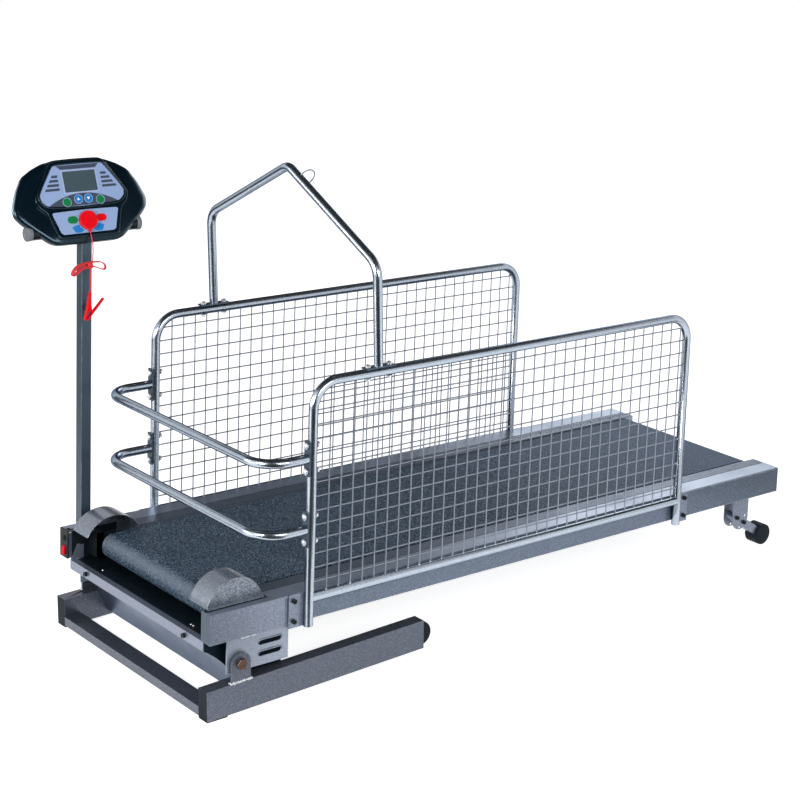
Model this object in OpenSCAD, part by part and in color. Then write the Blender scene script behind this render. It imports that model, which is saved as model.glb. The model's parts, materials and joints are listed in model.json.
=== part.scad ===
/* [Side rails] */
// length of each side rail
rail_len = 2090; // [1500:10:2400]
// height of the rail tube with its foot strip
rail_h = 80; // [50:1:120]
// width of the rail tube
rail_w = 40; // [25:1:60]
// wall of the rail and base tubes
rail_wall = 2.5; // [1.5:0.5:5]
// distance from the middle to the outer face of a rail
rail_out = 381; // [300:1:500]
// slope of the deck, front up, in degrees
deck_tilt = 0.72; // [0:0.01:6]
// thickness of the foot strip on a rail
strip_t = 3.2; // [2:0.1:6]
// height of the grip ridges on the foot strip
ridge_h = 1.2; // [0.5:0.1:2]
// width of one grip ridge
ridge_w = 2.4; // [1:0.1:4]
// number of grip ridges
ridge_n = 9; // [4:1:14]
// depth of the foot strip's inner flange
strip_flange_h = 14; // [5:1:20]
// thickness of a rear cap's outer disc
cap_t = 3; // [1:0.5:6]
// depth of a cap's plug
cap_plug = 14; // [6:1:30]

/* [Running belt] */
// half of the belt's width
belt_half = 266; // [200:1:300]
// thickness of the belt
belt_t = 2.4; // [1.5:0.1:4]
// drop of the belt's top below the rail's top
belt_drop = 2; // [0:0.5:10]
// outer radius of the belt where it turns
belt_r = 35; // [25:1:60]
// room between a roller and the belt
belt_room = 0.3; // [0.2:0.1:1]
// front roller's axis behind the rails' front ends
front_axis_in = 95; // [60:1:300]
// rear roller's axis ahead of the rails' rear ends
rear_axis_in = 45; // [40:1:300]
// radius of a roller's fixed axle
axle_r = 8.5; // [5:0.5:15]
// running room of shafts, radial
run_room = 0.05; // [0.02:0.01:0.1]
// wall of a roller tube
roller_wall = 4; // [2:0.5:8]
// length of a roller's end plug
roller_plug = 16; // [8:1:30]
// thickness of the deck board
board_t = 18; // [12:1:25]
// room between the belt and the board
board_room = 0.4; // [0.2:0.1:1]
// height of a cross member
cross_h = 25; // [15:1:35]
// width of a cross member
cross_w = 40; // [25:1:60]
// radius of a tension bolt
tension_r = 4; // [2:0.5:8]

/* [Drive] */
// radius of the pulley on the front roller
big_pulley_r = 52; // [35:1:60]
// radius of the pulley on the motor
small_pulley_r = 21; // [12:1:30]
// width of the pulleys
pulley_w = 20; // [10:1:30]
// middle of the pulleys from the middle of the deck
pulley_y = 306; // [285:1:320]
// motor's axis behind the front roller's axis
motor_back = 60; // [30:1:120]
// motor's axis below the front roller's axis
motor_low = 150; // [110:1:170]
// radius of the motor's body
motor_r = 48; // [35:1:55]
// length of the motor's body
motor_len = 190; // [120:5:240]
// radius of the motor's flywheel
fly_r = 44; // [25:1:50]
// thickness of the flywheel
fly_t = 14; // [6:1:20]
// radius of the motor's shaft
shaft_r = 7; // [4:0.5:12]
// thickness of the drive belt
drive_t = 3.5; // [2:0.5:6]
// thickness of the motor's saddle walls
saddle_w = 60; // [60:5:140]

/* [Front end] */
// thickness of bent sheet pieces
sheet_t = 2; // [1:0.5:4]
// length of the sleeve on a rail's front end
sleeve_len = 221; // [100:1:300]
// front face of the lip behind the rails' front ends
lip_back = 5; // [0:1:30]
// top of the lip below the rail's top
lip_low = 84; // [60:1:110]
// height of the lip
lip_h = 26; // [15:1:50]
// depth of the lip's top flange
lip_deep = 18; // [8:1:40]
// height of the lip's corner gussets
gusset_h = 42; // [20:1:60]
// depth of the lip's corner gussets
gusset_deep = 40; // [20:1:60]
// rear edge of the motor cover behind its front edge
cover_len = 190; // [120:5:240]
// half of the belly pan's width
pan_half = 343; // [300:1:345]
// bottom of the belly pan below the rail's top
pan_low = 258; // [200:1:265]
// rear wall of the motor bay behind the rails' front ends
bay_len = 239; // [180:1:320]
// radius of the pan's hollow front
pan_curve_r = 260; // [200:5:600]
// front of the pan's flat bottom behind the rails' front ends
floor_in = 123; // [80:1:170]
// outer face of a louvred side plate from the middle
side_out = 374; // [350:1:378]
// thickness of a side plate
side_t = 3; // [2:0.5:6]
// front edge of a side plate behind the rails' front ends
side_in = 53; // [20:1:90]
// bottom of a side plate below the rail's top
side_low = 171; // [140:1:185]
// length of a louvre slot
louvre_len = 70; // [30:1:90]
// height of a louvre slot
louvre_h = 14; // [5:0.5:16]
// height of the near roller guard
guard_rise_near = 66; // [58:1:82]
// height of the far roller guard
guard_rise_far = 50; // [44:1:82]
// half of a guard's chord
guard_half = 82; // [70:1:100]
// inner edge of a guard from the middle
guard_in = 262; // [240:1:270]
// outer edge of a guard from the middle
guard_out = 344; // [342:1:360]
// thickness of the switch panel
panel_t = 4; // [2:0.5:8]
// radius of the power inlet's face
inlet_r = 9; // [5:0.5:15]
// drop of the power inlet below the rail's top
inlet_low = 26; // [15:1:40]
// drop of the rocker switch below the rail's top
rocker_low = 60; // [45:1:70]
// width of the rocker
rocker_w = 13; // [8:0.5:20]
// height of the rocker
rocker_h = 22; // [14:0.5:30]
// radius of the rocker's curved back
rocker_r = 13; // [11:0.5:24]
// room around moving trim pieces
trim_room = 0.6; // [0.3:0.1:2]

/* [Base frame] */
// slope of the base bars, rear up, in degrees
base_tilt = 1.58; // [0:0.01:4]
// height of a base bar
base_h = 80; // [50:1:120]
// width of a base bar
base_w = 40; // [25:1:60]
// outer face of a base bar from the middle
base_out = 386; // [320:1:480]
// front end of a base bar ahead of its pivot
base_front = 103; // [60:1:150]
// rear end of a base bar behind its pivot
base_rear = 582; // [400:1:700]
// pivot above the bar's bottom
pivot_up = 128; // [105:1:150]
// pivot behind the rails' front ends
pivot_in = 90; // [40:1:150]
// pivot below the rail's top
pivot_low = 147; // [120:1:160]
// radius of a pivot ear
ear_r = 29; // [20:1:40]
// thickness of a pivot ear
ear_t = 7; // [4:0.5:12]
// outer face of a pivot ear from the middle
ear_out = 384.5; // [380:0.5:400]
// radius of a pivot bolt's shank
pivot_r = 9; // [5:0.5:12]
// radius over the corners of a pivot bolt's head
pivot_head_r = 15; // [9:0.5:20]
// thickness of a pivot bolt's head
pivot_head_t = 9; // [5:0.5:15]
// depth of the front crossbar
bar_deep = 50; // [30:1:80]
// height of the front crossbar
bar_h = 25; // [15:1:40]
// crossbar above the bars' bottom
bar_up = 4; // [0:0.5:20]
// length of a floor pad
pad_len = 60; // [30:1:100]
// thickness of a floor pad at its front
pad_t = 2; // [1:0.5:6]
// radius of a transport wheel
wheel_r = 34; // [20:0.5:36]
// width of a transport wheel
wheel_w = 28; // [15:1:33]
// radius of a wheel's axle
wheel_axle_r = 5; // [3:0.5:8]
// wheel's axle ahead of the bar's rear end
wheel_in = 4; // [2:1:30]

/* [Rear feet] */
// foot bracket's pivot ahead of the rails' rear ends
foot_in = 152; // [60:1:240]
// foot bracket's pivot below the rail's top
foot_low = 143; // [115:1:160]
// length of a foot arm
foot_arm = 147; // [100:1:200]
// radius of a rubber foot
foot_r = 33; // [20:0.5:45]
// length of a rubber foot
foot_len = 46; // [25:1:70]
// middle of a foot from the middle
foot_y = 340; // [300:1:360]
// inner width of a foot bracket
bracket_in = 34; // [20:1:50]
// thickness of a foot bracket
bracket_t = 3; // [2:0.5:6]
// length of a foot bracket
bracket_len = 68; // [50:1:90]
// radius of the lock holes' circle
lock_r = 38; // [30:0.5:45]
// step between the lock holes in degrees
lock_step = 33; // [20:1:40]
// radius of a lock hole
hole_r = 4.2; // [3:0.1:6]
// height of a foot arm
arm_h = 26; // [16:1:36]
// side room of a foot arm
arm_room = 1; // [0.5:0.1:3]
// radius of an arm's end tube
arm_tube_r = 13; // [8:0.5:20]

/* [Side panels] */
// radius of the panel, guard bar and arch tubes
tube_r = 12.5; // [8:0.5:20]
// wall of those tubes
tube_wall = 1.5; // [1:0.1:3]
// width of a panel between its posts
panel_w = 1340; // [900:5:1600]
// front post behind the rails' front ends
panel_in = 292; // [150:1:500]
// near panel ahead and far panel behind their mean place
panel_stagger = 6; // [0:1:20]
// top tube's axis above the rail's top
panel_top = 555; // [400:1:700]
// bottom tube's axis below the rail's top
panel_bottom = 15; // [0:1:40]
// lower end of a post below the rail's top
post_low = 90; // [80:1:120]
// bend radius of the panel tube
panel_bend = 70; // [40:1:120]
// pitch of the wire mesh
wire_pitch = 38.1; // [25:0.1:60]
// thickness of the wires
wire_t = 3.8; // [2:0.1:5]
// first upright wire from the front post
wire_first = 53; // [30:1:80]
// top wire below the top tube
wire_drop = 34; // [20:1:60]
// room between a wire's end and its tube, filled by the weld
wire_room = 0.05; // [0:0.01:0.3]
// length of a panel's mounting plate from the post
plate_len = 55; // [40:1:80]
// thickness of mounting plates
plate_t = 4; // [2:0.5:8]
// upper screw below the rail's top
screw_top = 17; // [10:1:30]
// lower screw below the rail's top
screw_bottom = 72; // [60:1:76]
// screws from the post's axis
screw_out = 40; // [30:1:60]
// radius of a socket screw's head
screw_head_r = 6.5; // [3:0.5:10]
// height of a socket screw's head
screw_head_t = 7; // [3:0.5:12]
// radius of a screw's shank
screw_r = 4; // [2:0.5:6]
// radius of a screw's hexagon socket
socket_r = 3.2; // [1.5:0.1:5]

/* [Guard bars and arch] */
// upper guard bar above the rail's top
guard_top_z = 360; // [250:1:480]
// lower guard bar above the rail's top
guard_low_z = 172; // [80:1:240]
// front run of the guard bars behind the rails' front ends
guard_bar_in = 140; // [40:1:230]
// bend radius of the guard bars
guard_bend = 75; // [40:1:100]
// length of a bar's end plate
end_plate_h = 92; // [60:1:120]
// bolt above and below a bar's axis
end_bolt = 34; // [22:1:50]
// legs of the leash arch behind the rails' front ends
arch_in = 487; // [340:1:700]
// shoulder bends above the rail's top
arch_shoulder = 838; // [700:1:950]
// apex of the arch above the rail's top
arch_apex = 1036; // [900:1:1200]
// shoulder bend radius of the arch
arch_bend = 60; // [40:1:90]
// apex bend radius of the arch
apex_bend = 45; // [30:1:80]
// forward lean of the arch in degrees
arch_lean = 3; // [0:0.1:8]
// wire radius of the leash ring
ring_wire = 1.75; // [1:0.05:3]
// radius of the leash ring
ring_r = 24; // [18:0.5:40]
// radius of the leash ring's hole
ring_hole = 4.4; // [3.5:0.1:8]
// distance of the ring's hole from the apex
ring_off = 60; // [30:1:120]
// radius of a dome bolt's head
dome_r = 7; // [4:0.5:10]
// height of a dome bolt's head
dome_h = 5; // [3:0.5:8]

/* [Console] */
// width of the console post
post_w = 30; // [20:1:50]
// wall of the console post
post_wall = 2; // [1:0.5:4]
// console post behind the rails' front ends
post_in = 75; // [25:1:190]
// handlebar's axis above the rail's top
bar_z = 829; // [700:1:950]
// handlebar's axis behind the far rail's outer face
bar_y = 22; // [10:1:40]
// radius of the handlebar
bar_r = 19; // [12:0.5:25]
// length of the handlebar without its caps
bar_len = 326; // [250:1:420]
// middle of the console's face above the rail's top
face_z = 845; // [700:1:950]
// middle of the console's face ahead of the far rail's outer face
face_y = 3; // [0:1:30]
// lean of the console's face in degrees
face_lean = 22.5; // [0:0.5:50]
// half of the console's width
con_half = 200; // [150:1:240]
// depth of the console's back shell
con_deep = 50; // [46:1:70]
// step from the wings up to the bezel
con_step = 9; // [5:1:20]
// wall of the console's shell
con_wall = 3; // [2:0.5:5]
// thickness of the face overlay
overlay_t = 1.2; // [0.6:0.1:3]
// half of the display's width
lcd_half = 49; // [30:1:70]
// height of the display
lcd_h = 58; // [30:1:80]
// middle of the display above the face's middle
lcd_v = 120; // [100:1:130]
// radius of a round button
button_r = 12; // [6:0.5:16]
// height of a button above the overlay
button_up = 2; // [1:0.1:5]
// travel of a button
button_travel = 1; // [0.5:0.1:2]
// thickness of a button's flange
button_flange = 1.4; // [0.8:0.1:3]
// radius of the safety key
key_r = 26; // [15:0.5:35]
// thickness of the safety key
key_t = 9; // [5:0.5:15]

/* [Safety cord and clip] */
// radius of the safety cord
cord_r = 1.4; // [0.8:0.1:2.5]
// number of loops in the hank
hank_n = 4; // [2:1:8]
// half of the hank's length
hank_half = 50; // [30:1:80]
// height of a hank lobe above the hank's line
hank_lobe = 21; // [8:1:30]
// step from loop to loop
hank_step = 3.6; // [3:0.1:6]
// hank's line below the face's middle
hank_low = 107; // [80:1:160]
// cord's lower end below the face's middle
cord_low = 186; // [150:1:260]
// cord ahead of the face's middle
cord_ahead = 27; // [22:1:40]
// turn radius where the cord meets the hank
cord_turn = 8; // [5:0.5:15]
// length of the clip
clip_len = 78; // [40:1:100]
// width of the clip's levers
clip_w = 10; // [6:0.5:16]
// thickness of the clip's levers
clip_t = 4; // [2:0.5:8]
// half opening of the clip's handles in degrees
clip_open = 15; // [8:1:25]
// radius of the clip's pivot pin
clip_pin = 1.6; // [1:0.1:3]

/* [Place] */
// shift that brings the part's middle over the origin along its length
centre_x = 55.06; // [0:0.5:120]
// shift that brings the part's middle over the origin across its width
centre_y = -42.44; // [-120:0.5:60]

/* [Hidden] */
// smoothness of round pieces
$fn = 48;
// length by which a cut runs past the piece it cuts
over = 1;
// room of pieces that are pressed together
fit_room = 0.1;
// gap between the belt's edge and the foot strip
strip_gap = 10;
// width of the foot strip's flat band
band_w = 58;
// groove between the ridges and the flat band
groove = 4;
// end of a roller past the belt's edge
roller_past = 4;
// board's end short of a roller's axis
board_short = 45;
// depth of an axle's end in a rail
axle_deep = 9;
// height of the slots cut for the drive belt
slot_room = 6;
// spacing of the cross members as a share of the rails' length
cross_share = 0.2967;
// depth to which crossing wires are pressed into each other
bite = 0.15;
// thickness of the front skin under the overlay
skin_t = 2.5;
// room between a button's flange and the skin
flange_room = 0.3;
// extra radius of a button's flange
flange_past = 2;
// half distance between the centres of an oval button
oval_half = 5;
// radius of an oval button's ends
oval_r = 10;
// radius of the key's stem
stem_r = 8;
// width of the key's cord lug
lug_w = 8;
// depth of the key's cord lug
lug_h = 6;
// cord's line above the face
cord_up = 4.5;
// facets of the cord
cord_sides = 6;
// points in one loop of the hank
hank_points = 24;
// share of a turn left out of the hank's last loop
half_turn_share = 0.5;
// share of a lobe's height that stays at the waist
waist_share = 0.25;
// droop of the hank's near and far lobe as shares of its length
left_droop_share = 0.45;
right_droop_share = 0.25;
// share of the clip's length between its pin and its tip
clip_pin_share = 0.42;
// turn of the clip as a whole in degrees
clip_turn = 27;
// gap between the clip's jaws
jaw_gap = 0.5;
// thickness of the clip's cheeks
cheek_t = 1.5;
// room beside the clip's inner lug
cheek_room = 0.4;
// turn of the rocker at rest in degrees
rocker_rest = 8;
// depth of the rocker in front of and behind its axis
rocker_front = 7;
rocker_back = 4;
// foot bracket's edge ahead of its pivot
bracket_past = 18;
// drop of the bracket's round end below its pivot
bracket_drop = 7;
// nut sizes
nut_t = 5;
pivot_nut_t = 8;
// gap between a pivot bolt's head and its ear
head_gap = 0.4;
// edge of a bolted plate past its bolt
plate_edge = 12;
// steps in the pan's hollow front
pan_steps = 12;
// width and height of the arch's welded seams
seam_w = 4;
seam_t = 0.2;
// steps in each bend of the drive belt
strap_steps = 24;
// room around the handlebar and the post in the console's shell
shell_room = 0.5;
// console's outline as shares of its half width
con_shares = [[0, 0.93], [0.3, 0.92], [0.47, 0.89], [0.64, 0.82], [0.8, 0.72], [0.92, 0.52], [1, 0.31],
  [0.99, 0.2], [0.91, 0.1], [0.7, -0.08], [0.55, -0.2], [0.44, -0.24], [0, -0.24]];
// console's back as a share of its front
back_share = 0.82;
// bezel's outline as shares of the console's half width
bezel_shares = [[0, 0.9], [0.33, 0.895], [0.4, 0.87], [0.45, 0.82], [0.62, 0.53], [0.69, 0.42],
  [0.69, 0.36],
  [0.65, 0.27], [0.56, 0.2], [0.46, -0.14], [0.42, -0.17], [0, -0.17]];
// upper overlay's outline as shares of the console's half width
upper_shares = [[0, 0.84], [0.34, 0.84], [0.38, 0.82], [0.58, 0.53], [0.63, 0.44], [0.62, 0.36],
  [0.55, 0.29],
  [0.48, 0.27], [0, 0.255]];
// lower overlay's outline as shares of the console's half width
lower_shares = [[0, 0.205], [0.5, 0.195], [0.41, -0.09], [0.37, -0.115], [0, -0.115]];
// places of the round buttons as shares of the console's half width
round_shares = [[-0.25, 0.325], [-0.075, 0.355], [0.075, 0.355], [0.25, 0.325]];
// places of the oval buttons as shares of the console's half width
oval_shares = [[-0.215, 0.075], [0.215, 0.075]];
// key above the face's middle as a share of the console's half width
key_share = 0.05;
// board's size, place and supports
board_half = 85;
board_low = 46;
board_high = 156;
pcb_t = 1.6;
pillar_r = 3;
pillar_len = 9;
pillar_in = 8;
// motor controller's size
ctrl_x = 90;
ctrl_y = 150;
ctrl_z = 36;
ctrl_place = 90;

rail_in = rail_out - rail_w;
rail_half = rail_len / 2;
roller_front = rail_half - front_axis_in;
roller_rear = rail_half - rear_axis_in;
cross_pitch = rail_len * cross_share;
bay_rear = rail_half - bay_len;
pan_floor_front = rail_half - floor_in;
side_front = rail_half - side_in;
pivot_x = rail_half - pivot_in;
foot_x = rail_half - foot_in;
panel_front = rail_half - panel_in;
guard_front = rail_half - guard_bar_in;
arch_x = rail_half - arch_in;
post_x = rail_half - post_in;
wire_cols = floor((panel_w - wire_first - tube_r) / wire_pitch) + 1;
wire_rows = floor((panel_top + panel_bottom - wire_drop - tube_r) / wire_pitch) + 1;
round_places = [for (p = round_shares) p * con_half];
oval_places = [for (p = oval_shares) p * con_half];
key_v = key_share * con_half;
axis_z = -belt_drop - belt_r;
roller_r = belt_r - belt_t - belt_room;
roller_half = belt_half + roller_past;
board_z = -belt_drop - belt_t - board_room;
strip_in = belt_half + strip_gap;
panel_y = rail_out + tube_r;
motor_x = -roller_front + motor_back;
motor_z = axis_z - motor_low;
pivot_wx = -pivot_x * cos(deck_tilt) - pivot_low * sin(deck_tilt);
pivot_wz = base_front * sin(base_tilt) + pivot_up * cos(base_tilt) + pad_t;
deck_h = pivot_wz - pivot_x * sin(deck_tilt) + pivot_low * cos(deck_tilt);
foot_wz = deck_h - foot_x * sin(deck_tilt) - foot_low * cos(deck_tilt);
foot_rest = asin((foot_wz - foot_r) / foot_arm) - deck_tilt;
lip_x = -rail_half + lip_back;
near_post = -panel_front - panel_stagger;
far_post = -panel_front + panel_stagger;
arch_foot = panel_top + tube_r + plate_t;
arch_slope = atan((arch_apex - arch_shoulder) / panel_y);
skin = overlay_t + skin_t;
echo("deck height", deck_h, "foot angle", foot_rest, "arch slope", arch_slope);

// Places and turns

module on_deck() { translate([centre_x, centre_y, deck_h]) rotate([0, deck_tilt, 0]) children(); }
module on_base() {
  translate([centre_x + pivot_wx, centre_y, pivot_wz]) rotate([0, -base_tilt, 0]) children();
}
module on_foot() { on_deck() translate([foot_x, 0, -foot_low]) rotate([0, foot_rest, 0]) children(); }
module at_face() { translate([-post_x, rail_out - face_y, face_z]) children(); }
module on_face() { at_face() rotate([90 - face_lean, 0, 0]) children(); }
module in_arch() { translate([-arch_x, 0, arch_foot]) rotate([0, -arch_lean, 0]) children(); }
module near() { mirror([0, 1, 0]) children(); }
module both() { children(); mirror([0, 1, 0]) children(); }
module along_x() { rotate([0, 90, 0]) children(); }
module along_y() { rotate([-90, 0, 0]) children(); }
module profile_x(len) { rotate([90, 0, 90]) linear_extrude(height = len) children(); }
module profile_y(len) { rotate([90, 0, 0]) linear_extrude(height = len, center = true) children(); }
module block(lo, hi) { translate(lo) cube(hi - lo); }
module rod_y(x, z, r, y0, y1) { translate([x, y0, z]) along_y() cylinder(r = r, h = y1 - y0); }
module rod_z(x, y, r, z0, z1) { translate([x, y, z0]) cylinder(r = r, h = z1 - z0); }
module rod_x(y, z, r, x0, x1) { translate([x0, y, z]) along_x() cylinder(r = r, h = x1 - x0); }
module hex_y(x, z, r, y0, y1) { translate([x, y0, z]) along_y() cylinder(r = r, h = y1 - y0, $fn = 6); }

function mirrored(list) = concat(list, [for (i = [len(list) - 2 : -1 : 1]) [-list[i][0], list[i][1]]]);
function sized(list, size) = [for (p = mirrored(list)) p * size];

// Side rails, strips and deck

module rail_blank() {
  block([-rail_half, rail_in, -rail_h], [rail_half, rail_out, -strip_t]);
}
module side_rails() {
  color("slategray") on_deck() both() difference() {
    rail_blank();
    block([-rail_half - over, rail_in + rail_wall, -rail_h + rail_wall],
      [rail_half + over, rail_out - rail_wall, -strip_t - rail_wall]);
    rod_y(-roller_front, axis_z, axle_r + run_room, rail_in - over, rail_in + rail_wall + over);
    block([roller_rear - 2 * axle_r, rail_in - over, axis_z - axle_r - run_room],
      [roller_rear + 2 * axle_r, rail_in + rail_wall + over, axis_z + axle_r + run_room]);
  }
}
module rail_end_caps() {
  inset = rail_wall + fit_room;
  color("black") on_deck() both() difference() {
    union() {
      block([rail_half, rail_in, -rail_h], [rail_half + cap_t, rail_out, -strip_t]);
      block([rail_half - cap_plug, rail_in + inset, -rail_h + inset],
        [rail_half, rail_out - inset, -strip_t - inset]);
    }
    rod_x(rail_in + rail_w / 2, axis_z, tension_r + run_room, rail_half - cap_plug - over,
      rail_half + cap_t + over);
  }
}
module foot_strips() {
  band_in = rail_out - band_w;
  pitch = (band_in - groove - strip_in) / ridge_n;
  ridges = [for (k = [ridge_n - 1 : -1 : 0]) let (y = strip_in + pitch * (k + 1) - ridge_w)
    each [[y + ridge_w, -ridge_h], [y + ridge_w, 0], [y, 0], [y, -ridge_h]]];
  low = -strip_t - strip_flange_h;
  outline = concat([[strip_in, low], [strip_in + sheet_t, low], [strip_in + sheet_t, -strip_t],
    [rail_out, -strip_t], [rail_out, 0], [band_in, 0],
      [band_in, -ridge_h]], ridges, [[strip_in, -ridge_h]]);
  color("silver") on_deck() both() difference() {
    translate([-rail_half, 0, 0]) profile_x(rail_len) polygon(outline);
    block([-rail_half - over, strip_in - over, low - over],
      [-roller_front + guard_half - 2 * sheet_t, rail_in, over]);
  }
}
module deck_board() {
  color("saddlebrown") on_deck() block([-roller_front + board_short, -belt_half + roller_past,
    board_z - board_t],
    [roller_rear - board_short, belt_half - roller_past, board_z]);
}
module cross_members() {
  top = board_z - board_t;
  color("slategray") on_deck() for (k = [-1 : 1]) translate([k * cross_pitch, 0, 0]) difference() {
    block([-cross_w / 2, -rail_in, top - cross_h], [cross_w / 2, rail_in, top]);
    block([-cross_w / 2 + rail_wall, -rail_in - over, top - cross_h + rail_wall],
      [cross_w / 2 - rail_wall, rail_in + over, top - rail_wall]);
  }
}

// Belt, rollers and drive

module loop_area(r) {
  translate([-roller_front, axis_z]) circle(r);
  translate([roller_rear, axis_z]) circle(r);
  translate([-roller_front, axis_z - r]) square([roller_front + roller_rear, 2 * r]);
}
module running_belt() {
  color("darkslategray") on_deck() profile_y(2 * belt_half) difference() {
    loop_area(belt_r);
    loop_area(belt_r - belt_t);
  }
}
module roller_blank(x) {
  rod_y(x, axis_z, roller_r, -roller_half, roller_half);
}
module roller_bore(x) {
  inner = roller_half - roller_plug;
  rod_y(x, axis_z, roller_r - roller_wall, -inner, inner);
  rod_y(x, axis_z, axle_r + run_room, -rail_in, rail_in);
}
module front_roller() {
  color("silver") on_deck() difference() {
    union() {
      roller_blank(-roller_front);
      rod_y(-roller_front, axis_z, 2 * axle_r, -pulley_y, -roller_half);
      rod_y(-roller_front, axis_z, big_pulley_r, -pulley_y - pulley_w / 2, -pulley_y + pulley_w / 2);
    }
    roller_bore(-roller_front);
  }
}
module rear_roller() {
  color("silver") on_deck() difference() {
    roller_blank(roller_rear);
    roller_bore(roller_rear);
  }
}
module roller_axles() {
  end = rail_in + axle_deep;
  color("gray") on_deck() {
    rod_y(-roller_front, axis_z, axle_r, -end, end);
    rod_y(roller_rear, axis_z, axle_r, -rail_in - rail_w / 2, rail_in + rail_w / 2);
  }
}
module drive_motor() {
  front = -pulley_y + pulley_w / 2 + fly_t + 2 * slot_room;
  color("dimgray") on_deck() difference() {
    union() {
      rod_y(motor_x, motor_z, motor_r, front, front + motor_len);
      block([motor_x - saddle_w / 2, front + slot_room, -pan_low + sheet_t], [motor_x + saddle_w / 2,
        front + motor_len - slot_room, motor_z - motor_r / 2]);
    }
    rod_y(motor_x, motor_z, shaft_r + run_room, front - over, front + motor_len / 2);
  }
}
module motor_pulley() {
  front = -pulley_y + pulley_w / 2;
  color("gray") on_deck() {
    rod_y(motor_x, motor_z, small_pulley_r, front - pulley_w, front);
    rod_y(motor_x, motor_z, fly_r, front + slot_room, front + slot_room + fly_t);
    rod_y(motor_x, motor_z, shaft_r, front - over, front + motor_len / 3);
  }
}
module strap_area(r1, r2, gap, turn) {
  edge = acos((r1 - r2) / gap);
  rotate(turn) polygon(concat(
    [for (k = [0 : strap_steps]) let (t = edge + (360 - 2 * edge) * k / strap_steps) r1 * [cos(t), sin(t)]],
    [for (k = [0 : strap_steps]) let (t = -edge + 2 * edge * k / strap_steps)
      [gap, 0] + r2 * [cos(t), sin(t)]]));
}
module drive_belt() {
  gap = sqrt(motor_back * motor_back + motor_low * motor_low);
  turn = -atan2(motor_low, motor_back);
  color("black") on_deck() translate([-roller_front, -pulley_y, axis_z]) profile_y(pulley_w - slot_room)
    difference() {
      strap_area(big_pulley_r + drive_t, small_pulley_r + drive_t, gap, turn);
      strap_area(big_pulley_r + belt_room, small_pulley_r + belt_room, gap, turn);
    }
}
module motor_controller() {
  color("darkgreen") on_deck() translate([motor_x - saddle_w / 2, ctrl_place, -pan_low + sheet_t])
    cube([ctrl_x, ctrl_y, ctrl_z]);
}

// Front end

module motor_cover() {
  top = -lip_low - sheet_t;
  color("black") on_deck() difference() {
    block([lip_x + 2 * sheet_t, -rail_in, top - sheet_t], [lip_x + cover_len, rail_in, top]);
    block([-roller_front - big_pulley_r - slot_room, -pulley_y - pulley_w, top - sheet_t - over],
      [motor_x + small_pulley_r + slot_room, -pulley_y + pulley_w, top + over]);
  }
}
module front_lip() {
  color("slategray") on_deck() difference() {
    union() {
      block([lip_x, -rail_in, -lip_low - lip_h], [lip_x + sheet_t, rail_in, -lip_low]);
      block([lip_x, -rail_in, -lip_low - sheet_t], [lip_x + lip_deep, rail_in, -lip_low]);
      both() translate([0, rail_in - sheet_t / 2, 0]) profile_y(sheet_t)
        polygon([[lip_x, -lip_low], [lip_x + gusset_deep, -lip_low],
          [lip_x + gusset_deep, -lip_low + gusset_h],
          [lip_x + gusset_deep / 2, -lip_low + gusset_h]]);
    }
    both() rod_x(roller_half - lip_deep, -lip_low - lip_h / 2, screw_r + run_room, lip_x - over,
      lip_x + sheet_t + over);
  }
}
function pan_arc(r) = let (a = [lip_x + sheet_t, -lip_low - lip_h], b = [-pan_floor_front, -pan_low],
  m = (a + b) / 2, d = b - a, l = norm(d), n = [-d[1], d[0]] / l,
  c = m - n * sqrt(pan_curve_r * pan_curve_r - l * l / 4), ta = atan2(a[1] - c[1], a[0] - c[0]),
  tb = atan2(b[1] - c[1], b[0] - c[0]))
  [for (k = [0 : pan_steps]) let (t = ta + (tb - ta) * k / pan_steps) c + r * [cos(t), sin(t)]];
module belly_pan() {
  top = -lip_low - sheet_t;
  outer = concat([[lip_x + sheet_t, top]], pan_arc(pan_curve_r), [[-bay_rear, -pan_low],
    [-bay_rear, -rail_h]]);
  back = concat([[-bay_rear - sheet_t, -rail_h], [-bay_rear - sheet_t, -pan_low + sheet_t]],
    [for (k = [pan_steps : -1 : 0]) pan_arc(pan_curve_r + sheet_t)[k]], [[lip_x + 2 * sheet_t, top]]);
  color("lightsteelblue") on_deck() difference() {
    union() {
      profile_y(2 * pan_half) polygon(concat(outer, back));
      both() translate([0, pan_half - sheet_t / 2, 0]) profile_y(sheet_t)
        polygon(concat([[lip_x + sheet_t, top]], pan_arc(pan_curve_r), [[-bay_rear, -pan_low],
          [-bay_rear, -rail_h], [lip_x + gusset_deep, -rail_h], [lip_x + gusset_deep, top]]));
    }
    both() rod_x(roller_half - lip_deep, -lip_low - lip_h / 2, screw_r + run_room, lip_x - over,
      lip_x + 2 * sheet_t + over);
  }
}
module slot_area(len, high) {
  square([len - high, high], center = true);
  for (s = [-1, 1]) translate([s * (len - high) / 2, 0]) circle(high / 2);
}
module side_plates() {
  mid = (side_front - bay_rear) / 2;
  color("slategray") on_deck() both() difference() {
    block([-side_front, side_out - side_t, -side_low], [-bay_rear, side_out, -rail_h]);
    for (k = [1, 2])
      translate([-bay_rear - louvre_len + louvre_h, side_out, -rail_h - (side_low - rail_h) * k / 3])
        profile_y(4 * side_t) slot_area(louvre_len, louvre_h);
    rod_y(-pivot_x, -pivot_low, pivot_r + run_room, side_out - side_t - over, side_out + over);
  }
}
module sleeve_blank(front) {
  block([-rail_half - front, rail_out, -rail_h], [-rail_half + sleeve_len, rail_out + sheet_t, 0]);
}
module front_sleeves() {
  color("slategray") on_deck() {
    sleeve_blank(0);
    near() {
      sleeve_blank(sheet_t);
      block([-rail_half - sheet_t, rail_in, -rail_h], [-rail_half, rail_out, 0]);
    }
  }
}
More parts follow.
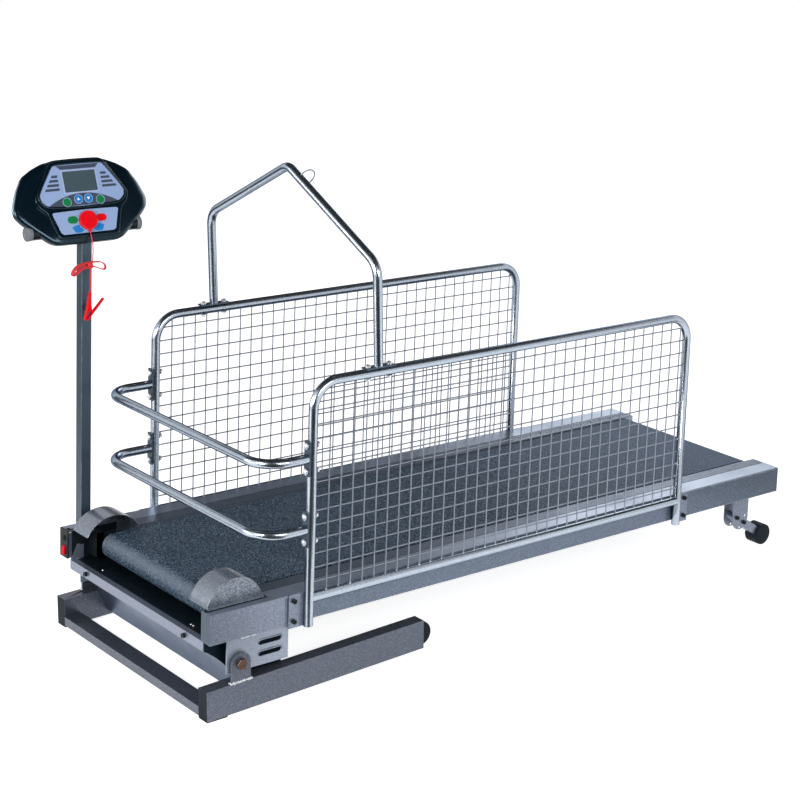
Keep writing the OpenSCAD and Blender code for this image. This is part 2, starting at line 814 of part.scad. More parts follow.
module guard_area(rise) {
  r = (guard_half * guard_half + rise * rise) / (2 * rise);
  difference() {
    translate([-roller_front, rise - r]) circle(r);
    translate([-roller_front - 2 * guard_half, -4 * guard_half]) square([4 * guard_half, 4 * guard_half]);
  }
}
module guard_inside(rise) {
  r = (guard_half * guard_half + rise * rise) / (2 * rise);
  difference() {
    translate([-roller_front, rise - r]) circle(r - sheet_t);
    translate([-roller_front - 2 * guard_half, -4 * guard_half]) square([4 * guard_half,
      4 * guard_half - over]);
  }
}
module one_guard(rise) {
  translate([0, (guard_in + guard_out) / 2, 0]) difference() {
    profile_y(guard_out - guard_in) guard_area(rise);
    translate([0, -sheet_t, 0]) profile_y(guard_out - guard_in) guard_inside(rise);
  }
}
module roller_guards() {
  color("gray") on_deck() {
    one_guard(guard_rise_far);
    near() one_guard(guard_rise_near);
  }
}
module switch_panel() {
  mid = rail_in + rail_w / 2;
  color("black") on_deck() difference() {
    block([-rail_half - panel_t, rail_in, -rail_h], [-rail_half, rail_out + sheet_t, 0]);
    rod_x(mid, -inlet_low, inlet_r - sheet_t, -rail_half - panel_t - over, -rail_half + over);
    block([-rail_half - panel_t - over, mid - rocker_w / 2 - trim_room, -rocker_low - rocker_r - trim_room],
      [-rail_half + over, mid + rocker_w / 2 + trim_room, -rocker_low + rocker_r + trim_room]);
  }
}
module power_inlet() {
  mid = rail_in + rail_w / 2;
  face = -rail_half - panel_t;
  color("black") on_deck() {
    rod_x(mid, -inlet_low, inlet_r, face - sheet_t, face);
    rod_x(mid, -inlet_low, inlet_r / 2, face - 2 * sheet_t, face);
    rod_x(mid, -inlet_low, inlet_r - sheet_t - fit_room, face - over, -rail_half + cap_plug);
  }
}
module power_rocker() {
  mid = rail_in + rail_w / 2;
  color("red") on_deck() translate([-rail_half - panel_t / 2, mid, -rocker_low]) rotate([0, rocker_rest, 0])
    intersection() {
      rod_y(0, 0, rocker_r, -rocker_w / 2, rocker_w / 2);
      block([-rocker_front, -rocker_w, -rocker_h], [rocker_back, rocker_w, rocker_h]);
    }
}

// Base frame

module base_frame() {
  in = base_out - base_w;
  low = -pivot_up;
  wheel_z = low + base_h / 2;
  color("slategray") on_base() difference() {
    union() {
      both() difference() {
        block([-base_front, in, low], [base_rear, base_out, low + base_h]);
        block([-base_front + rail_wall, in + rail_wall, low + rail_wall],
          [base_rear + over, base_out - rail_wall, low + base_h - rail_wall]);
      }
      difference() {
        block([-base_front, -in, low + bar_up], [-base_front + bar_deep, in, low + bar_up + bar_h]);
        block([-base_front + rail_wall, -in + rail_wall, low + bar_up + rail_wall],
          [-base_front + bar_deep - rail_wall, in - rail_wall, low + bar_up + bar_h - rail_wall]);
      }
      both() translate([0, ear_out - ear_t / 2, 0]) profile_y(ear_t) union() {
        circle(ear_r);
        translate([-ear_r, low + base_h]) square([2 * ear_r, pivot_up - base_h]);
      }
      both() rod_y(base_rear - wheel_in, wheel_z, wheel_axle_r, in + rail_wall / 2,
        base_out - rail_wall / 2);
    }
    both() rod_y(0, 0, pivot_r + run_room, ear_out - ear_t - over, ear_out + over);
  }
}
function floor_z(x) = -(pivot_wz + x * sin(base_tilt)) / cos(base_tilt);
module base_pads() {
  back = -base_front + pad_len;
  color("black") on_base() both() translate([0, base_out - base_w / 2, 0]) profile_y(base_w)
    polygon([[-base_front, -pivot_up], [-base_front, floor_z(-base_front)], [back, floor_z(back)],
      [back, -pivot_up]]);
}
module pivot_bolts() {
  head = ear_out + head_gap;
  nut = side_out - side_t;
  color("peru") on_deck() translate([-pivot_x, 0, -pivot_low]) both() {
    rod_y(0, 0, pivot_r, nut - pivot_nut_t, head + over);
    hex_y(0, 0, pivot_head_r, head, head + pivot_head_t);
    hex_y(0, 0, pivot_head_r, nut - pivot_nut_t, nut);
  }
}
module one_wheel() {
  z = -pivot_up + base_h / 2;
  y = base_out - base_w / 2;
  difference() {
    rod_y(base_rear - wheel_in, z, wheel_r, y - wheel_w / 2, y + wheel_w / 2);
    rod_y(base_rear - wheel_in, z, wheel_axle_r + run_room, y - wheel_w, y + wheel_w);
  }
}
module near_wheel() { color("black") on_base() near() one_wheel(); }
module far_wheel() { color("black") on_base() one_wheel(); }

// Rear feet

module bracket_area() {
  mid = foot_x - bracket_past + bracket_len / 2;
  translate([foot_x - bracket_past, -foot_low - bracket_drop])
    square([bracket_len, foot_low + bracket_drop - rail_h]);
  translate([mid, -foot_low - bracket_drop]) circle(bracket_len / 2);
}
module foot_brackets() {
  wide = bracket_in + 2 * bracket_t;
  color("slategray") on_deck() both() translate([0, foot_y, 0]) difference() {
    profile_y(wide) bracket_area();
    block([foot_x - bracket_len, -bracket_in / 2, -foot_low - bracket_len],
      [foot_x + bracket_len, bracket_in / 2, -rail_h - bracket_t]);
    rod_y(foot_x, -foot_low, screw_r + run_room, -wide, wide);
    for (k = [-1 : 1]) translate([foot_x, 0, -foot_low]) rotate([0, foot_rest + k * lock_step, 0])
      rod_y(lock_r, 0, hole_r, -wide, wide);
  }
}
module arm_blank() {
  half = bracket_in / 2 - arm_room;
  block([0, -half, -arm_h / 2], [foot_arm, half, arm_h / 2]);
  rod_y(0, 0, arm_h / 2, -half, half);
  rod_y(foot_arm, 0, arm_tube_r, -foot_len / 2, foot_len / 2);
}
module one_arm() {
  translate([0, foot_y, 0]) difference() {
    arm_blank();
    rod_y(0, 0, screw_r + run_room, -bracket_in, bracket_in);
    rod_y(lock_r, 0, hole_r, -bracket_in, bracket_in);
  }
}
module one_pad() {
  translate([0, foot_y, 0]) difference() {
    rod_y(foot_arm, 0, foot_r, -foot_len / 2, foot_len / 2);
    arm_blank();
    rod_y(foot_arm, 0, arm_tube_r, -foot_len, foot_len);
  }
}
module near_foot_arm() { color("slategray") on_foot() near() one_arm(); }
module far_foot_arm() { color("slategray") on_foot() one_arm(); }
module near_foot_pad() { color("black") on_foot() near() one_pad(); }
module far_foot_pad() { color("black") on_foot() one_pad(); }

// Side panels

module quarter(r, bend) {
  rotate([90, 0, 0]) rotate_extrude(angle = 90) translate([bend, 0]) circle(r);
}
module frame_path(r, past) {
  side = panel_top - panel_bend;
  rod_z(0, 0, r, -post_low - past, side);
  rod_z(panel_w, 0, r, -post_low - past, side);
  translate([panel_bend, 0, side]) mirror([1, 0, 0]) quarter(r, panel_bend);
  translate([panel_w - panel_bend, 0, side]) quarter(r, panel_bend);
  rod_x(0, panel_top, r, panel_bend, panel_w - panel_bend);
  rod_x(0, -panel_bottom, r, 0, panel_w);
}
module one_frame(front) {
  low = -screw_bottom - post_low + screw_bottom;
  translate([front, panel_y, 0]) difference() {
    union() {
      frame_path(tube_r, 0);
      block([-plate_len, -tube_r, low], [0, -tube_r + plate_t, 0]);
      block([panel_w, -tube_r, low], [panel_w + plate_len, -tube_r + plate_t, 0]);
    }
    frame_path(tube_r - tube_wall, over);
    for (x = [-screw_out, panel_w + screw_out], z = [-screw_top, -screw_bottom])
      rod_y(x, z, screw_r + run_room, -tube_r - over, -tube_r + plate_t + over);
    for (z = [guard_low_z, guard_top_z], s = [-1, 1])
      rod_x(0, z + s * end_bolt, screw_r + run_room, -2 * tube_r, 2 * tube_r);
    for (s = [-1, 1]) rod_z(-arch_x - front + s * end_bolt, 0, screw_r + run_room, panel_top - 2 * tube_r,
      panel_top + 2 * tube_r);
  }
}
module near_panel_frame() { color("gray") on_deck() near() one_frame(near_post); }
module far_panel_frame() { color("gray") on_deck() one_frame(far_post); }

function inner_edge(d) = d >= panel_bend ? tube_r + wire_room
  : panel_bend - sqrt(pow(panel_bend - tube_r, 2) - pow(panel_bend - d, 2)) + wire_room;
function wire_x(i) = wire_first + i * wire_pitch;
function wire_z(j) = panel_top - wire_drop - j * wire_pitch;
function top_end(x) = panel_top - inner_edge(min(x, panel_w - x) - wire_t / 2);
function side_end(z) = inner_edge(panel_top - z - wire_t / 2);
module one_mesh(front) {
  h = wire_t / 2;
  low = -panel_bottom + tube_r + wire_room;
  translate([front, panel_y, 0]) {
    for (i = [0 : wire_cols - 1]) let (x = wire_x(i))
      block([x - h, -bite, low], [x + h, wire_t - bite, top_end(x)]);
    for (j = [0 : wire_rows - 1]) let (z = wire_z(j), e = side_end(z))
      block([e, bite - wire_t, z - h], [panel_w - e, bite, z + h]);
  }
}
module near_panel_mesh() { color("silver") on_deck() near() one_mesh(near_post); }
module far_panel_mesh() { color("silver") on_deck() one_mesh(far_post); }

// Guard bars and arch

module bar_bend(r) { rotate_extrude(angle = 90) translate([guard_bend, 0]) circle(r); }
module bar_path(r, past) {
  corner = panel_y - guard_bend;
  back = -guard_front + guard_bend;
  rod_x(panel_y, 0, r, back, far_post - tube_r - plate_t + past);
  rod_x(-panel_y, 0, r, back, near_post - tube_r - plate_t + past);
  rod_y(-guard_front, 0, r, -corner, corner);
  translate([back, corner, 0]) rotate(90) bar_bend(r);
  translate([back, -corner, 0]) rotate(180) bar_bend(r);
}
module one_bar(z) {
  translate([0, 0, z]) difference() {
    union() {
      bar_path(tube_r, 0);
      for (p = [[far_post, panel_y], [near_post, -panel_y]])
        block([p[0] - tube_r - plate_t, p[1] - tube_r, -end_plate_h / 2],
          [p[0] - tube_r, p[1] + tube_r, end_plate_h / 2]);
    }
    bar_path(tube_r - tube_wall, 0);
    for (p = [[far_post, panel_y], [near_post, -panel_y]], s = [-1, 1])
      rod_x(p[1], s * end_bolt, screw_r + run_room, p[0] - 2 * tube_r, p[0]);
  }
}
module upper_guard_bar() { color("gray") on_deck() one_bar(guard_top_z); }
module lower_guard_bar() { color("gray") on_deck() one_bar(guard_low_z); }

module arch_path(r, past) {
  high = arch_shoulder - arch_foot;
  turn = 90 - arch_slope;
  t1 = arch_bend * tan(turn / 2);
  t2 = apex_bend * tan(arch_slope);
  run = norm([panel_y, arch_apex - arch_shoulder]) - t1 - t2;
  both() {
    rod_z(0, panel_y, r, -plate_t / 2 - past, high - t1);
    translate([0, panel_y - arch_bend, high - t1]) rotate([90, 0, 90])
      rotate_extrude(angle = turn) translate([arch_bend, 0]) circle(r);
    translate([0, panel_y - t1 * cos(arch_slope),
      high + t1 * sin(arch_slope)]) rotate([90 - arch_slope, 0, 0]) {
      cylinder(r = r, h = run);
      for (z = [0, run]) translate([0, 0, z - seam_w / 2]) cylinder(r = r + seam_t, h = seam_w);
    }
  }
  translate([0, 0, arch_apex - arch_foot - apex_bend / cos(arch_slope)])
    rotate([90, 0, 90]) rotate(90 - arch_slope)
      rotate_extrude(angle = 2 * arch_slope) translate([apex_bend, 0]) circle(r);
}
module at_ring() {
  translate([0, -ring_off * cos(arch_slope), arch_apex - arch_foot - ring_off * sin(arch_slope)])
    rotate([90 + arch_slope, 0, 0]) children();
}
module leash_arch() {
  color("gray") on_deck() difference() {
    union() {
      in_arch() arch_path(tube_r, 0);
      both() block([-arch_x - end_bolt - plate_edge, panel_y - tube_r, arch_foot - plate_t],
        [-arch_x + end_bolt + plate_edge, panel_y + tube_r, arch_foot]);
    }
    in_arch() arch_path(tube_r - tube_wall, plate_t);
    in_arch() at_ring() along_y() cylinder(r = ring_hole, h = 4 * tube_r, center = true);
    both() for (s = [-1, 1]) rod_z(-arch_x + s * end_bolt, panel_y, screw_r + run_room,
      arch_foot - 2 * plate_t,
      arch_foot + over);
  }
}
module leash_ring() {
  color("silver") on_deck() in_arch() at_ring() translate([ring_r - ring_wire, 0, 0])
    rotate_extrude() translate([ring_r, 0]) circle(ring_wire, $fn = 24);
}

// Fasteners

module dome_bolt(len) {
  cap = (dome_r * dome_r + dome_h * dome_h) / (2 * dome_h);
  intersection() {
    translate([0, 0, dome_h - cap]) sphere(cap);
    cylinder(r = dome_r, h = dome_h);
  }
  translate([0, 0, -len]) cylinder(r = screw_r, h = len + dome_h / 3);
}
module frame_bolts() {
  long = plate_t + 2 * tube_r - tube_wall;
  color("lightgray") on_deck() {
    for (p = [[far_post, panel_y], [near_post, -panel_y]], z = [guard_low_z, guard_top_z], s = [-1, 1])
      translate([p[0] - tube_r - plate_t, p[1], z + s * end_bolt]) rotate([0, -90, 0]) dome_bolt(long);
    both() for (s = [-1, 1]) translate([-arch_x + s * end_bolt, panel_y, arch_foot]) dome_bolt(long);
    for (z = [-screw_top, -screw_bottom + dome_r]) translate([-post_x, rail_out + sheet_t + post_w, z])
      along_y() dome_bolt(post_wall);
  }
}
module socket_screw(len) {
  difference() {
    cylinder(r = screw_head_r, h = screw_head_t);
    translate([0, 0, screw_head_t / 2]) cylinder(r = socket_r, h = screw_head_t, $fn = 6);
  }
  translate([0, 0, -len]) cylinder(r = screw_r, h = len + screw_head_t / 3);
}
module foot_screws() {
  wide = bracket_in + 2 * bracket_t;
  both() translate([foot_x, foot_y + wide / 2, -foot_low]) {
    along_y() socket_screw(wide + nut_t);
    rotate([0, foot_rest, 0]) translate([lock_r, 0, 0]) along_y() socket_screw(bracket_t - fit_room);
  }
}
module socket_screws() {
  color("black") on_deck() {
    for (s = [-1, 1], e = [0, 1], z = [-screw_top, -screw_bottom]) {
      front = s < 0 ? near_post : far_post;
      x = front + (e < 1 ? -screw_out : panel_w + screw_out);
      translate([x, s * (rail_out + plate_t), z]) rotate([s * -90, 0, 0]) socket_screw(plate_t - fit_room);
    }
    both() translate([lip_x, roller_half - lip_deep, -lip_low - lip_h / 2]) rotate([0, -90, 0])
      socket_screw(2 * sheet_t - fit_room);
    both() translate([rail_half + cap_t, rail_in + rail_w / 2, axis_z]) rotate([0, 90, 0]) {
      cylinder(r = tension_r, h = over);
      translate([0, 0, -(rail_half + cap_t - roller_rear - axle_r)])
        cylinder(r = tension_r, h = rail_half + cap_t - roller_rear - axle_r);
    }
    foot_screws();
  }
}

// Console

module console_post() {
  y0 = rail_out + sheet_t;
  color("slategray") on_deck() difference() {
    block([-post_x - post_w / 2, y0, -rail_h], [-post_x + post_w / 2, y0 + post_w, bar_z]);
    block([-post_x - post_w / 2 + post_wall, y0 + post_wall, -rail_h - over],
      [-post_x + post_w / 2 - post_wall, y0 + post_w - post_wall, bar_z + over]);
    rod_x(rail_out + bar_y, bar_z, bar_r, -post_x - post_w, -post_x + post_w);
    for (z = [-screw_top, -screw_bottom + dome_r])
      rod_y(-post_x, z, screw_r + run_room, y0 + post_w / 2, y0 + 2 * post_w);
  }
}
module handlebar() {
  color("dimgray") on_deck() difference() {
    rod_x(rail_out + bar_y, bar_z, bar_r, -post_x - bar_len / 2, -post_x + bar_len / 2);
    rod_x(rail_out + bar_y, bar_z, bar_r - post_wall, -post_x - bar_len / 2 - over,
      -post_x + bar_len / 2 + over);
  }
}
module handlebar_caps() {
  color("darkgray") on_deck() translate([-post_x, rail_out + bar_y, bar_z]) for (s = [0,
    180]) rotate([0, 0, s]) {
    rod_x(0, 0, bar_r, bar_len / 2, bar_len / 2 + plate_t);
    rod_x(0, 0, bar_r - post_wall - fit_room, bar_len / 2 - cap_plug, bar_len / 2 + over);
  }
}
module plate_of(list, size, w0, w1) {
  translate([0, 0, w0]) linear_extrude(height = w1 - w0) polygon(sized(list, size));
}
module shell_form(size, front, back) {
  hull() {
    plate_of(con_shares, size, front - over, front);
    plate_of(con_shares, size * back_share, back, back + over);
  }
}
module console_shell() {
  y0 = rail_out + sheet_t;
  color("black") on_deck() difference() {
    on_face() difference() {
      shell_form(con_half, -con_step, -con_deep - con_step);
      shell_form(con_half - 2 * con_wall, -con_step - con_wall, -con_deep - con_step + con_wall);
      plate_of(bezel_shares, con_half - 4 * con_wall, -con_step - con_wall - 2 * over, over);
    }
    rod_x(rail_out + bar_y, bar_z, bar_r + shell_room, -post_x - 2 * con_half, -post_x + 2 * con_half);
    block([-post_x - post_w / 2 - shell_room, y0 - shell_room, 0],
      [-post_x + post_w / 2 + shell_room, y0 + post_w + shell_room, bar_z]);
  }
}
module round_holes(r, w0, w1) {
  for (p = round_places) translate([p[0], p[1], w0]) cylinder(r = r, h = w1 - w0);
}
module oval_shape(p, r, w0, w1) {
  translate([p[0], p[1], w0]) linear_extrude(height = w1 - w0) slot_area(2 * oval_half + 2 * r, 2 * r);
}
module face_holes(w0, w1) {
  round_holes(button_r + trim_room, w0, w1);
  for (p = oval_places) oval_shape(p, oval_r + trim_room, w0, w1);
  translate([0, key_v, w0]) cylinder(r = stem_r + trim_room, h = w1 - w0);
}
module lcd_hole(room, w0, w1) {
  block([-lcd_half - room, lcd_v - lcd_h / 2 - room, w0], [lcd_half + room, lcd_v + lcd_h / 2 + room, w1]);
}
module console_front() {
  color("black") on_deck() on_face() {
    difference() {
      plate_of(bezel_shares, con_half, -con_step, 0);
      plate_of(bezel_shares, con_half - 2 * con_wall, -con_step - over, -skin);
      plate_of(upper_shares, con_half, -overlay_t, over);
      plate_of(lower_shares, con_half, -overlay_t, over);
      face_holes(-con_step, over);
      lcd_hole(fit_room, -con_step, over);
    }
    for (u = [-1, 1], v = [board_low + pillar_in, board_high - pillar_in])
      translate([u * (board_half - pillar_in), v, -skin - pillar_len]) cylinder(r = pillar_r,
        h = pillar_len);
  }
}
module console_face() {
  color("lightsteelblue") on_deck() on_face() difference() {
    union() {
      plate_of(upper_shares, con_half - fit_room, -overlay_t, 0);
      plate_of(lower_shares, con_half - fit_room, -overlay_t, 0);
    }
    face_holes(-con_step, over);
    lcd_hole(fit_room, -con_step, over);
  }
}
module display() { color("darkslategray") on_deck() on_face() lcd_hole(0, -skin - pillar_len, 0); }
module console_board() {
  color("green") on_deck() on_face() difference() {
    block([-board_half, board_low, -skin - pillar_len - pcb_t],
      [board_half, board_high, -skin - pillar_len]);
  }
}
module round_button(k) {
  flange = -skin - flange_room;
  on_deck() on_face() translate([round_places[k][0], round_places[k][1], 0]) {
    translate([0, 0, flange - over / 2]) cylinder(r = button_r, h = button_up - flange + over / 2);
    translate([0, 0, flange - button_flange]) cylinder(r = button_r + flange_past, h = button_flange);
  }
}
module oval_button(k) {
  flange = -skin - flange_room;
  on_deck() on_face() {
    oval_shape(oval_places[k], oval_r, flange - over / 2, button_up);
    oval_shape(oval_places[k], oval_r + flange_past, flange - button_flange, flange);
  }
}
module left_button() { color("green") round_button(0); }
module up_button() { color("dodgerblue") round_button(1); }
module down_button() { color("dodgerblue") round_button(2); }
module right_button() { color("green") round_button(3); }
module start_button() { color("green") oval_button(0); }
module stop_button() { color("red") oval_button(1); }

// Safety key, cord and clip

module safety_key() {
  lug = key_v - key_r - lug_h;
  color("red") on_deck() on_face() {
    translate([0, key_v, button_up + flange_room]) cylinder(r = key_r, h = key_t);
    translate([0, key_v, -skin_t]) cylinder(r = stem_r, h = key_t);
    block([-lug_w / 2, lug, button_up + flange_room], [lug_w / 2, key_v - key_r / 2, key_t]);
  }
}
function off_face(v, w) = [0, v * sin(face_lean) - w * cos(face_lean),
  v * cos(face_lean) + w * sin(face_lean)];
cord_y = -cord_ahead;
cord_end_y = cord_y + hank_step * (hank_n - half_turn_share);
cord_w = button_up + flange_room + (key_t - button_up - flange_room) / 2;
waist = waist_share * hank_lobe;
function hank_point(a) = let (c = cos(a), s = sin(a), x = hank_half * c)
  [x - cord_turn, cord_y + hank_step * (a - 90) / 360,
    -hank_low + hank_lobe * s * (waist_share + (1 - waist_share) * c * c)
    - abs(x) * abs(c) * (x < 0 ? left_droop_share : right_droop_share)];
lead_in = concat([for (k = [0 : 5]) off_face(key_v - key_r - lug_h - k * hank_lobe / 3, cord_w)],
  [[0, cord_y - cord_r, -hank_low / 2 - hank_lobe], for (k = [0 : 3])
    [0, cord_y, -hank_low + waist + cord_turn
    + (hank_low / 2 - hank_lobe - waist - 2 * cord_turn) * (3 - k) / 3]]);
turn_in = [for (k = [1 : 3]) let (a = -k * 22.5) [-cord_turn + cord_turn * cos(a), cord_y,
  -hank_low + waist + cord_turn + cord_turn * sin(a)]];
hank = [for (k = [0 : hank_points * hank_n - hank_points / 2]) hank_point(90 + k * 360 / hank_points)];
turn_out = [for (k = [1 : 4]) let (a = 90 - k * 22.5) [-cord_turn + cord_turn * cos(a), cord_end_y,
  -hank_low - waist - cord_turn + cord_turn * sin(a)]];
lead_out = [for (k = [1 : 6]) [0, cord_end_y, -hank_low - waist - cord_turn
  - (cord_low - hank_low - waist - cord_turn) * k / 6]];
cord_path = concat(lead_in, turn_in, hank, turn_out, lead_out);
function cord_frame(path, i) = let (n = len(path), t0 = path[min(i + 1, n - 1)] - path[max(i - 1, 0)],
  t = t0 / norm(t0), b0 = cross(t, [0, 1, 0]), b = b0 / norm(b0), c = cross(t, b)) [b, c];
function ring_of(path, i) = let (f = cord_frame(path, i)) [for (k = [0 : cord_sides - 1])
  let (a = 360 * k / cord_sides) path[i] + cord_r * (cos(a) * f[0] + sin(a) * f[1])];
module sweep_cord(path) {
  n = len(path);
  m = cord_sides;
  points = [for (i = [0 : n - 1]) each ring_of(path, i)];
  sides = [for (i = [0 : n - 2], k = [0 : m - 1]) let (a = i * m + k, b = i * m + (k + 1) % m)
    each [[a, a + m, b], [b, a + m, b + m]]];
  polyhedron(points, concat([[for (k = [0 : m - 1]) k]],
    sides, [[for (k = [m - 1 : -1 : 0]) (n - 1) * m + k]]));
}
far_pairs = [for (i = [0 : len(cord_path) - 1], j = [i + 8 : 1 : len(cord_path) - 1])
  norm(cord_path[i] - cord_path[j]) - 2 * cord_r];
cord_steps = [for (i = [1 : len(cord_path) - 1]) norm(cord_path[i] - cord_path[i - 1])];
function total(list, i = 0) = i >= len(list) ? 0 : list[i] + total(list, i + 1);
echo("least gap of the cord to itself", min(far_pairs), "cord length", total(cord_steps));
module safety_cord() { color("crimson") on_deck() at_face() sweep_cord(cord_path); }

tip_len = clip_len * clip_pin_share;
pin_off = tip_len * tan(clip_open);
module at_clip() { translate([0, cord_end_y, -cord_low]) rotate([0, clip_turn - clip_open, 0]) children(); }
module at_pin() {
  translate([0, 0, -clip_len]) rotate([0, clip_open, 0]) translate([0, 0, tip_len]) children();
}
module clip_body() {
  color("red") on_deck() at_face() at_clip() difference() {
    union() {
      block([-clip_t / 2, -clip_w / 2, -clip_len], [clip_t / 2, clip_w / 2, 0]);
      for (s = [-1, 1]) translate([0, s * (clip_w - cheek_t) / 2, 0]) profile_y(cheek_t)
        polygon([[0, -clip_len + tip_len / 2], [pin_off + 2 * clip_pin, -clip_len + tip_len - 2 * clip_pin],
          [pin_off + 2 * clip_pin, -clip_len + tip_len + 2 * clip_pin], [0, -clip_len + tip_len * 2]]);
      at_pin() rod_y(0, 0, clip_pin, -clip_w / 2, clip_w / 2);
    }
    translate([clip_t / 2 - jaw_gap, -clip_w, -clip_len - over]) cube([over, 2 * clip_w, tip_len / 4]);
  }
}
module clip_jaw() {
  inner = clip_w / 2 - cheek_t - cheek_room;
  color("red") on_deck() at_face() at_clip() difference() {
    union() {
      translate([0, 0, -clip_len]) rotate([0, 2 * clip_open, 0])
        block([clip_t / 2 + jaw_gap, -clip_w / 2, clip_t],
          [3 * clip_t / 2 + jaw_gap, clip_w / 2, clip_len]);
      at_pin() rotate([0, clip_open, 0]) block([-2 * clip_pin, -inner, -2 * clip_pin],
        [tip_len * sin(clip_open) + clip_t, inner, 2 * clip_pin]);
    }
    at_pin() rod_y(0, 0, clip_pin + run_room, -clip_w, clip_w);
  }
}

side_rails();
rail_end_caps();
foot_strips();
deck_board();
cross_members();
running_belt();
front_roller();
rear_roller();
roller_axles();
drive_motor();
motor_pulley();
drive_belt();
motor_controller();
motor_cover();
front_lip();
belly_pan();
side_plates();
front_sleeves();
roller_guards();
switch_panel();
power_inlet();
power_rocker();
base_frame();
base_pads();
pivot_bolts();
near_wheel();
far_wheel();
foot_brackets();
near_foot_arm();
near_foot_pad();
far_foot_arm();
far_foot_pad();
near_panel_frame();
far_panel_frame();
near_panel_mesh();
far_panel_mesh();
socket_screws();
upper_guard_bar();
lower_guard_bar();
leash_arch();
leash_ring();
frame_bolts();
console_post();
handlebar();
handlebar_caps();
console_shell();
console_front();
console_face();
display();
console_board();
left_button();
up_button();
down_button();
right_button();
start_button();
stop_button();
safety_key();
safety_cord();
clip_body();
clip_jaw();
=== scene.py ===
# %% [markdown]
# A dog treadmill, dressed for a studio picture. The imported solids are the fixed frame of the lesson:
# every piece made below sits on one of them and moves with one of their bodies, so the finished model can
# still be posed.

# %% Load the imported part
import json
import math
import bmesh
import bpy
from mathutils import Matrix, Vector

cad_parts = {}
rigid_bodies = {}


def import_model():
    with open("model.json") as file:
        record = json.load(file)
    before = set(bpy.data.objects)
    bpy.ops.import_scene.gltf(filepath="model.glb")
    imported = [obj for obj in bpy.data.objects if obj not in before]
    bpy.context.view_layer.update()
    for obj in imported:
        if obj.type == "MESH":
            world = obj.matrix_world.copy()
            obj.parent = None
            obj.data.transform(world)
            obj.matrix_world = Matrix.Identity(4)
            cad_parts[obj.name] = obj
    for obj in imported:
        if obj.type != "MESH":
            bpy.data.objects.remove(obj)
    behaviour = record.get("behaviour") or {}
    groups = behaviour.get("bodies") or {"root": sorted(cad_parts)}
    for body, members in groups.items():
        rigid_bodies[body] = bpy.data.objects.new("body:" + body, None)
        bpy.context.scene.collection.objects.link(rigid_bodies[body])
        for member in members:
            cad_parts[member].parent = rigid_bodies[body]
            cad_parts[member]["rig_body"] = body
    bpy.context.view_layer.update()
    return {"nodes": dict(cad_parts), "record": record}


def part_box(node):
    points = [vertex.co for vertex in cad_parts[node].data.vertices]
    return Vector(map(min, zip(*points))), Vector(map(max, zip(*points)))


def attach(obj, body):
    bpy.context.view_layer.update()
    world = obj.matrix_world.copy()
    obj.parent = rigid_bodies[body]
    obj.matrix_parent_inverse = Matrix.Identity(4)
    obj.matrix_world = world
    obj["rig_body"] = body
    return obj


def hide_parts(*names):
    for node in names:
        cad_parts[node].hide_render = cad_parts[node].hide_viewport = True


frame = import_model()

# %% [markdown]
# The photograph was taken with a fairly long lens from the front corner on the near side, a little above
# the rails. A camera can be placed by eye, but here its place was solved from the straight edges of
# rails, panels and base, so it is simply written down. The lens axis lies off the middle of the frame,
# which the two shifts give.

# %% Camera
CAMERA_AT = (-3.47007, -4.35773, 2.25503)
VIEW_RIGHT = Vector((0.755186, -0.654593, 0.034667))
VIEW_UP = Vector((0.098815, 0.165962, 0.981169))
LENS, SENSOR, FAR_CLIP = 88.895, 36.0, 60.0
SHIFT = (-0.15285, -0.25532)


def add_object(name, data):
    """A new object of the scene, at the origin."""
    made = bpy.data.objects.new(name, data)
    bpy.context.scene.collection.objects.link(made)
    return made


camera_data = bpy.data.cameras.new("photo_camera")
camera = add_object("photo_camera", camera_data)
view_turn = Matrix((VIEW_RIGHT, VIEW_UP, VIEW_RIGHT.cross(VIEW_UP))).transposed().to_4x4()
camera.matrix_world = Matrix.Translation(CAMERA_AT) @ view_turn
camera_data.lens = LENS
camera_data.sensor_width = SENSOR
camera_data.shift_x, camera_data.shift_y = SHIFT
camera_data.clip_end = FAR_CLIP
bpy.context.scene.camera = camera
print("camera stands at", [round(c, 2) for c in camera.location])

# %% [markdown]
# The deck of the real machine slopes by less than a degree, because its front stands on the base bars.
# Everything on the deck is easier to place in the deck's own millimetres, so one matrix carries deck
# millimetres into the part's metres, and others do the same from the head of the post and for the leaning
# face of the console.

# %% Frames of the deck and of the console's face
DECK_AT, DECK_SLOPE = (0.05506, -0.04244, 0.267779), math.radians(0.72)
POST_AT, LEAN = (-970.0, 378.0, 845.0), math.radians(22.5)
MILLIMETRE = Matrix.Scale(0.001, 4)
DECK = Matrix.Translation(DECK_AT) @ Matrix.Rotation(DECK_SLOPE, 4, "Y") @ MILLIMETRE
POST = DECK @ Matrix.Translation(POST_AT)
FACE = POST @ Matrix.Rotation(math.radians(90.0) - LEAN, 4, "X")
to_deck = DECK.inverted()
print("deck height", round(DECK.translation.z, 4))

# %% [markdown]
# Many pieces are skins: rows of points, each row a closed ring, with faces from one row to the next.
# Blender's modifiers can make such skins too, but a few lines of mesh code keep every point in hand. One
# helper joins the rows and caps the ends, and another turns the result into smooth mesh data with its
# creases and its finish.

# %% Helpers for skins of rows
def around(count):
    """The angles of equal steps once around."""
    return [math.tau * k / count for k in range(count)]


def join_rows(mesh, rows, ring=False):
    """Faces between closed rows of points, row by row; the ends are capped, or meet in a ring."""
    made = [[mesh.verts.new(p) for p in row] for row in rows]
    following = made[1:] + made[:1] if ring else made[1:]
    faces = []
    for low, high in zip(made, following):
        for k in range(len(low)):
            n = (k + 1) % len(low)
            faces.append(mesh.faces.new((low[k], low[n], high[n], high[k])))
    if not ring:
        mesh.faces.new(list(reversed(made[0])))
        mesh.faces.new(made[-1])
    return faces


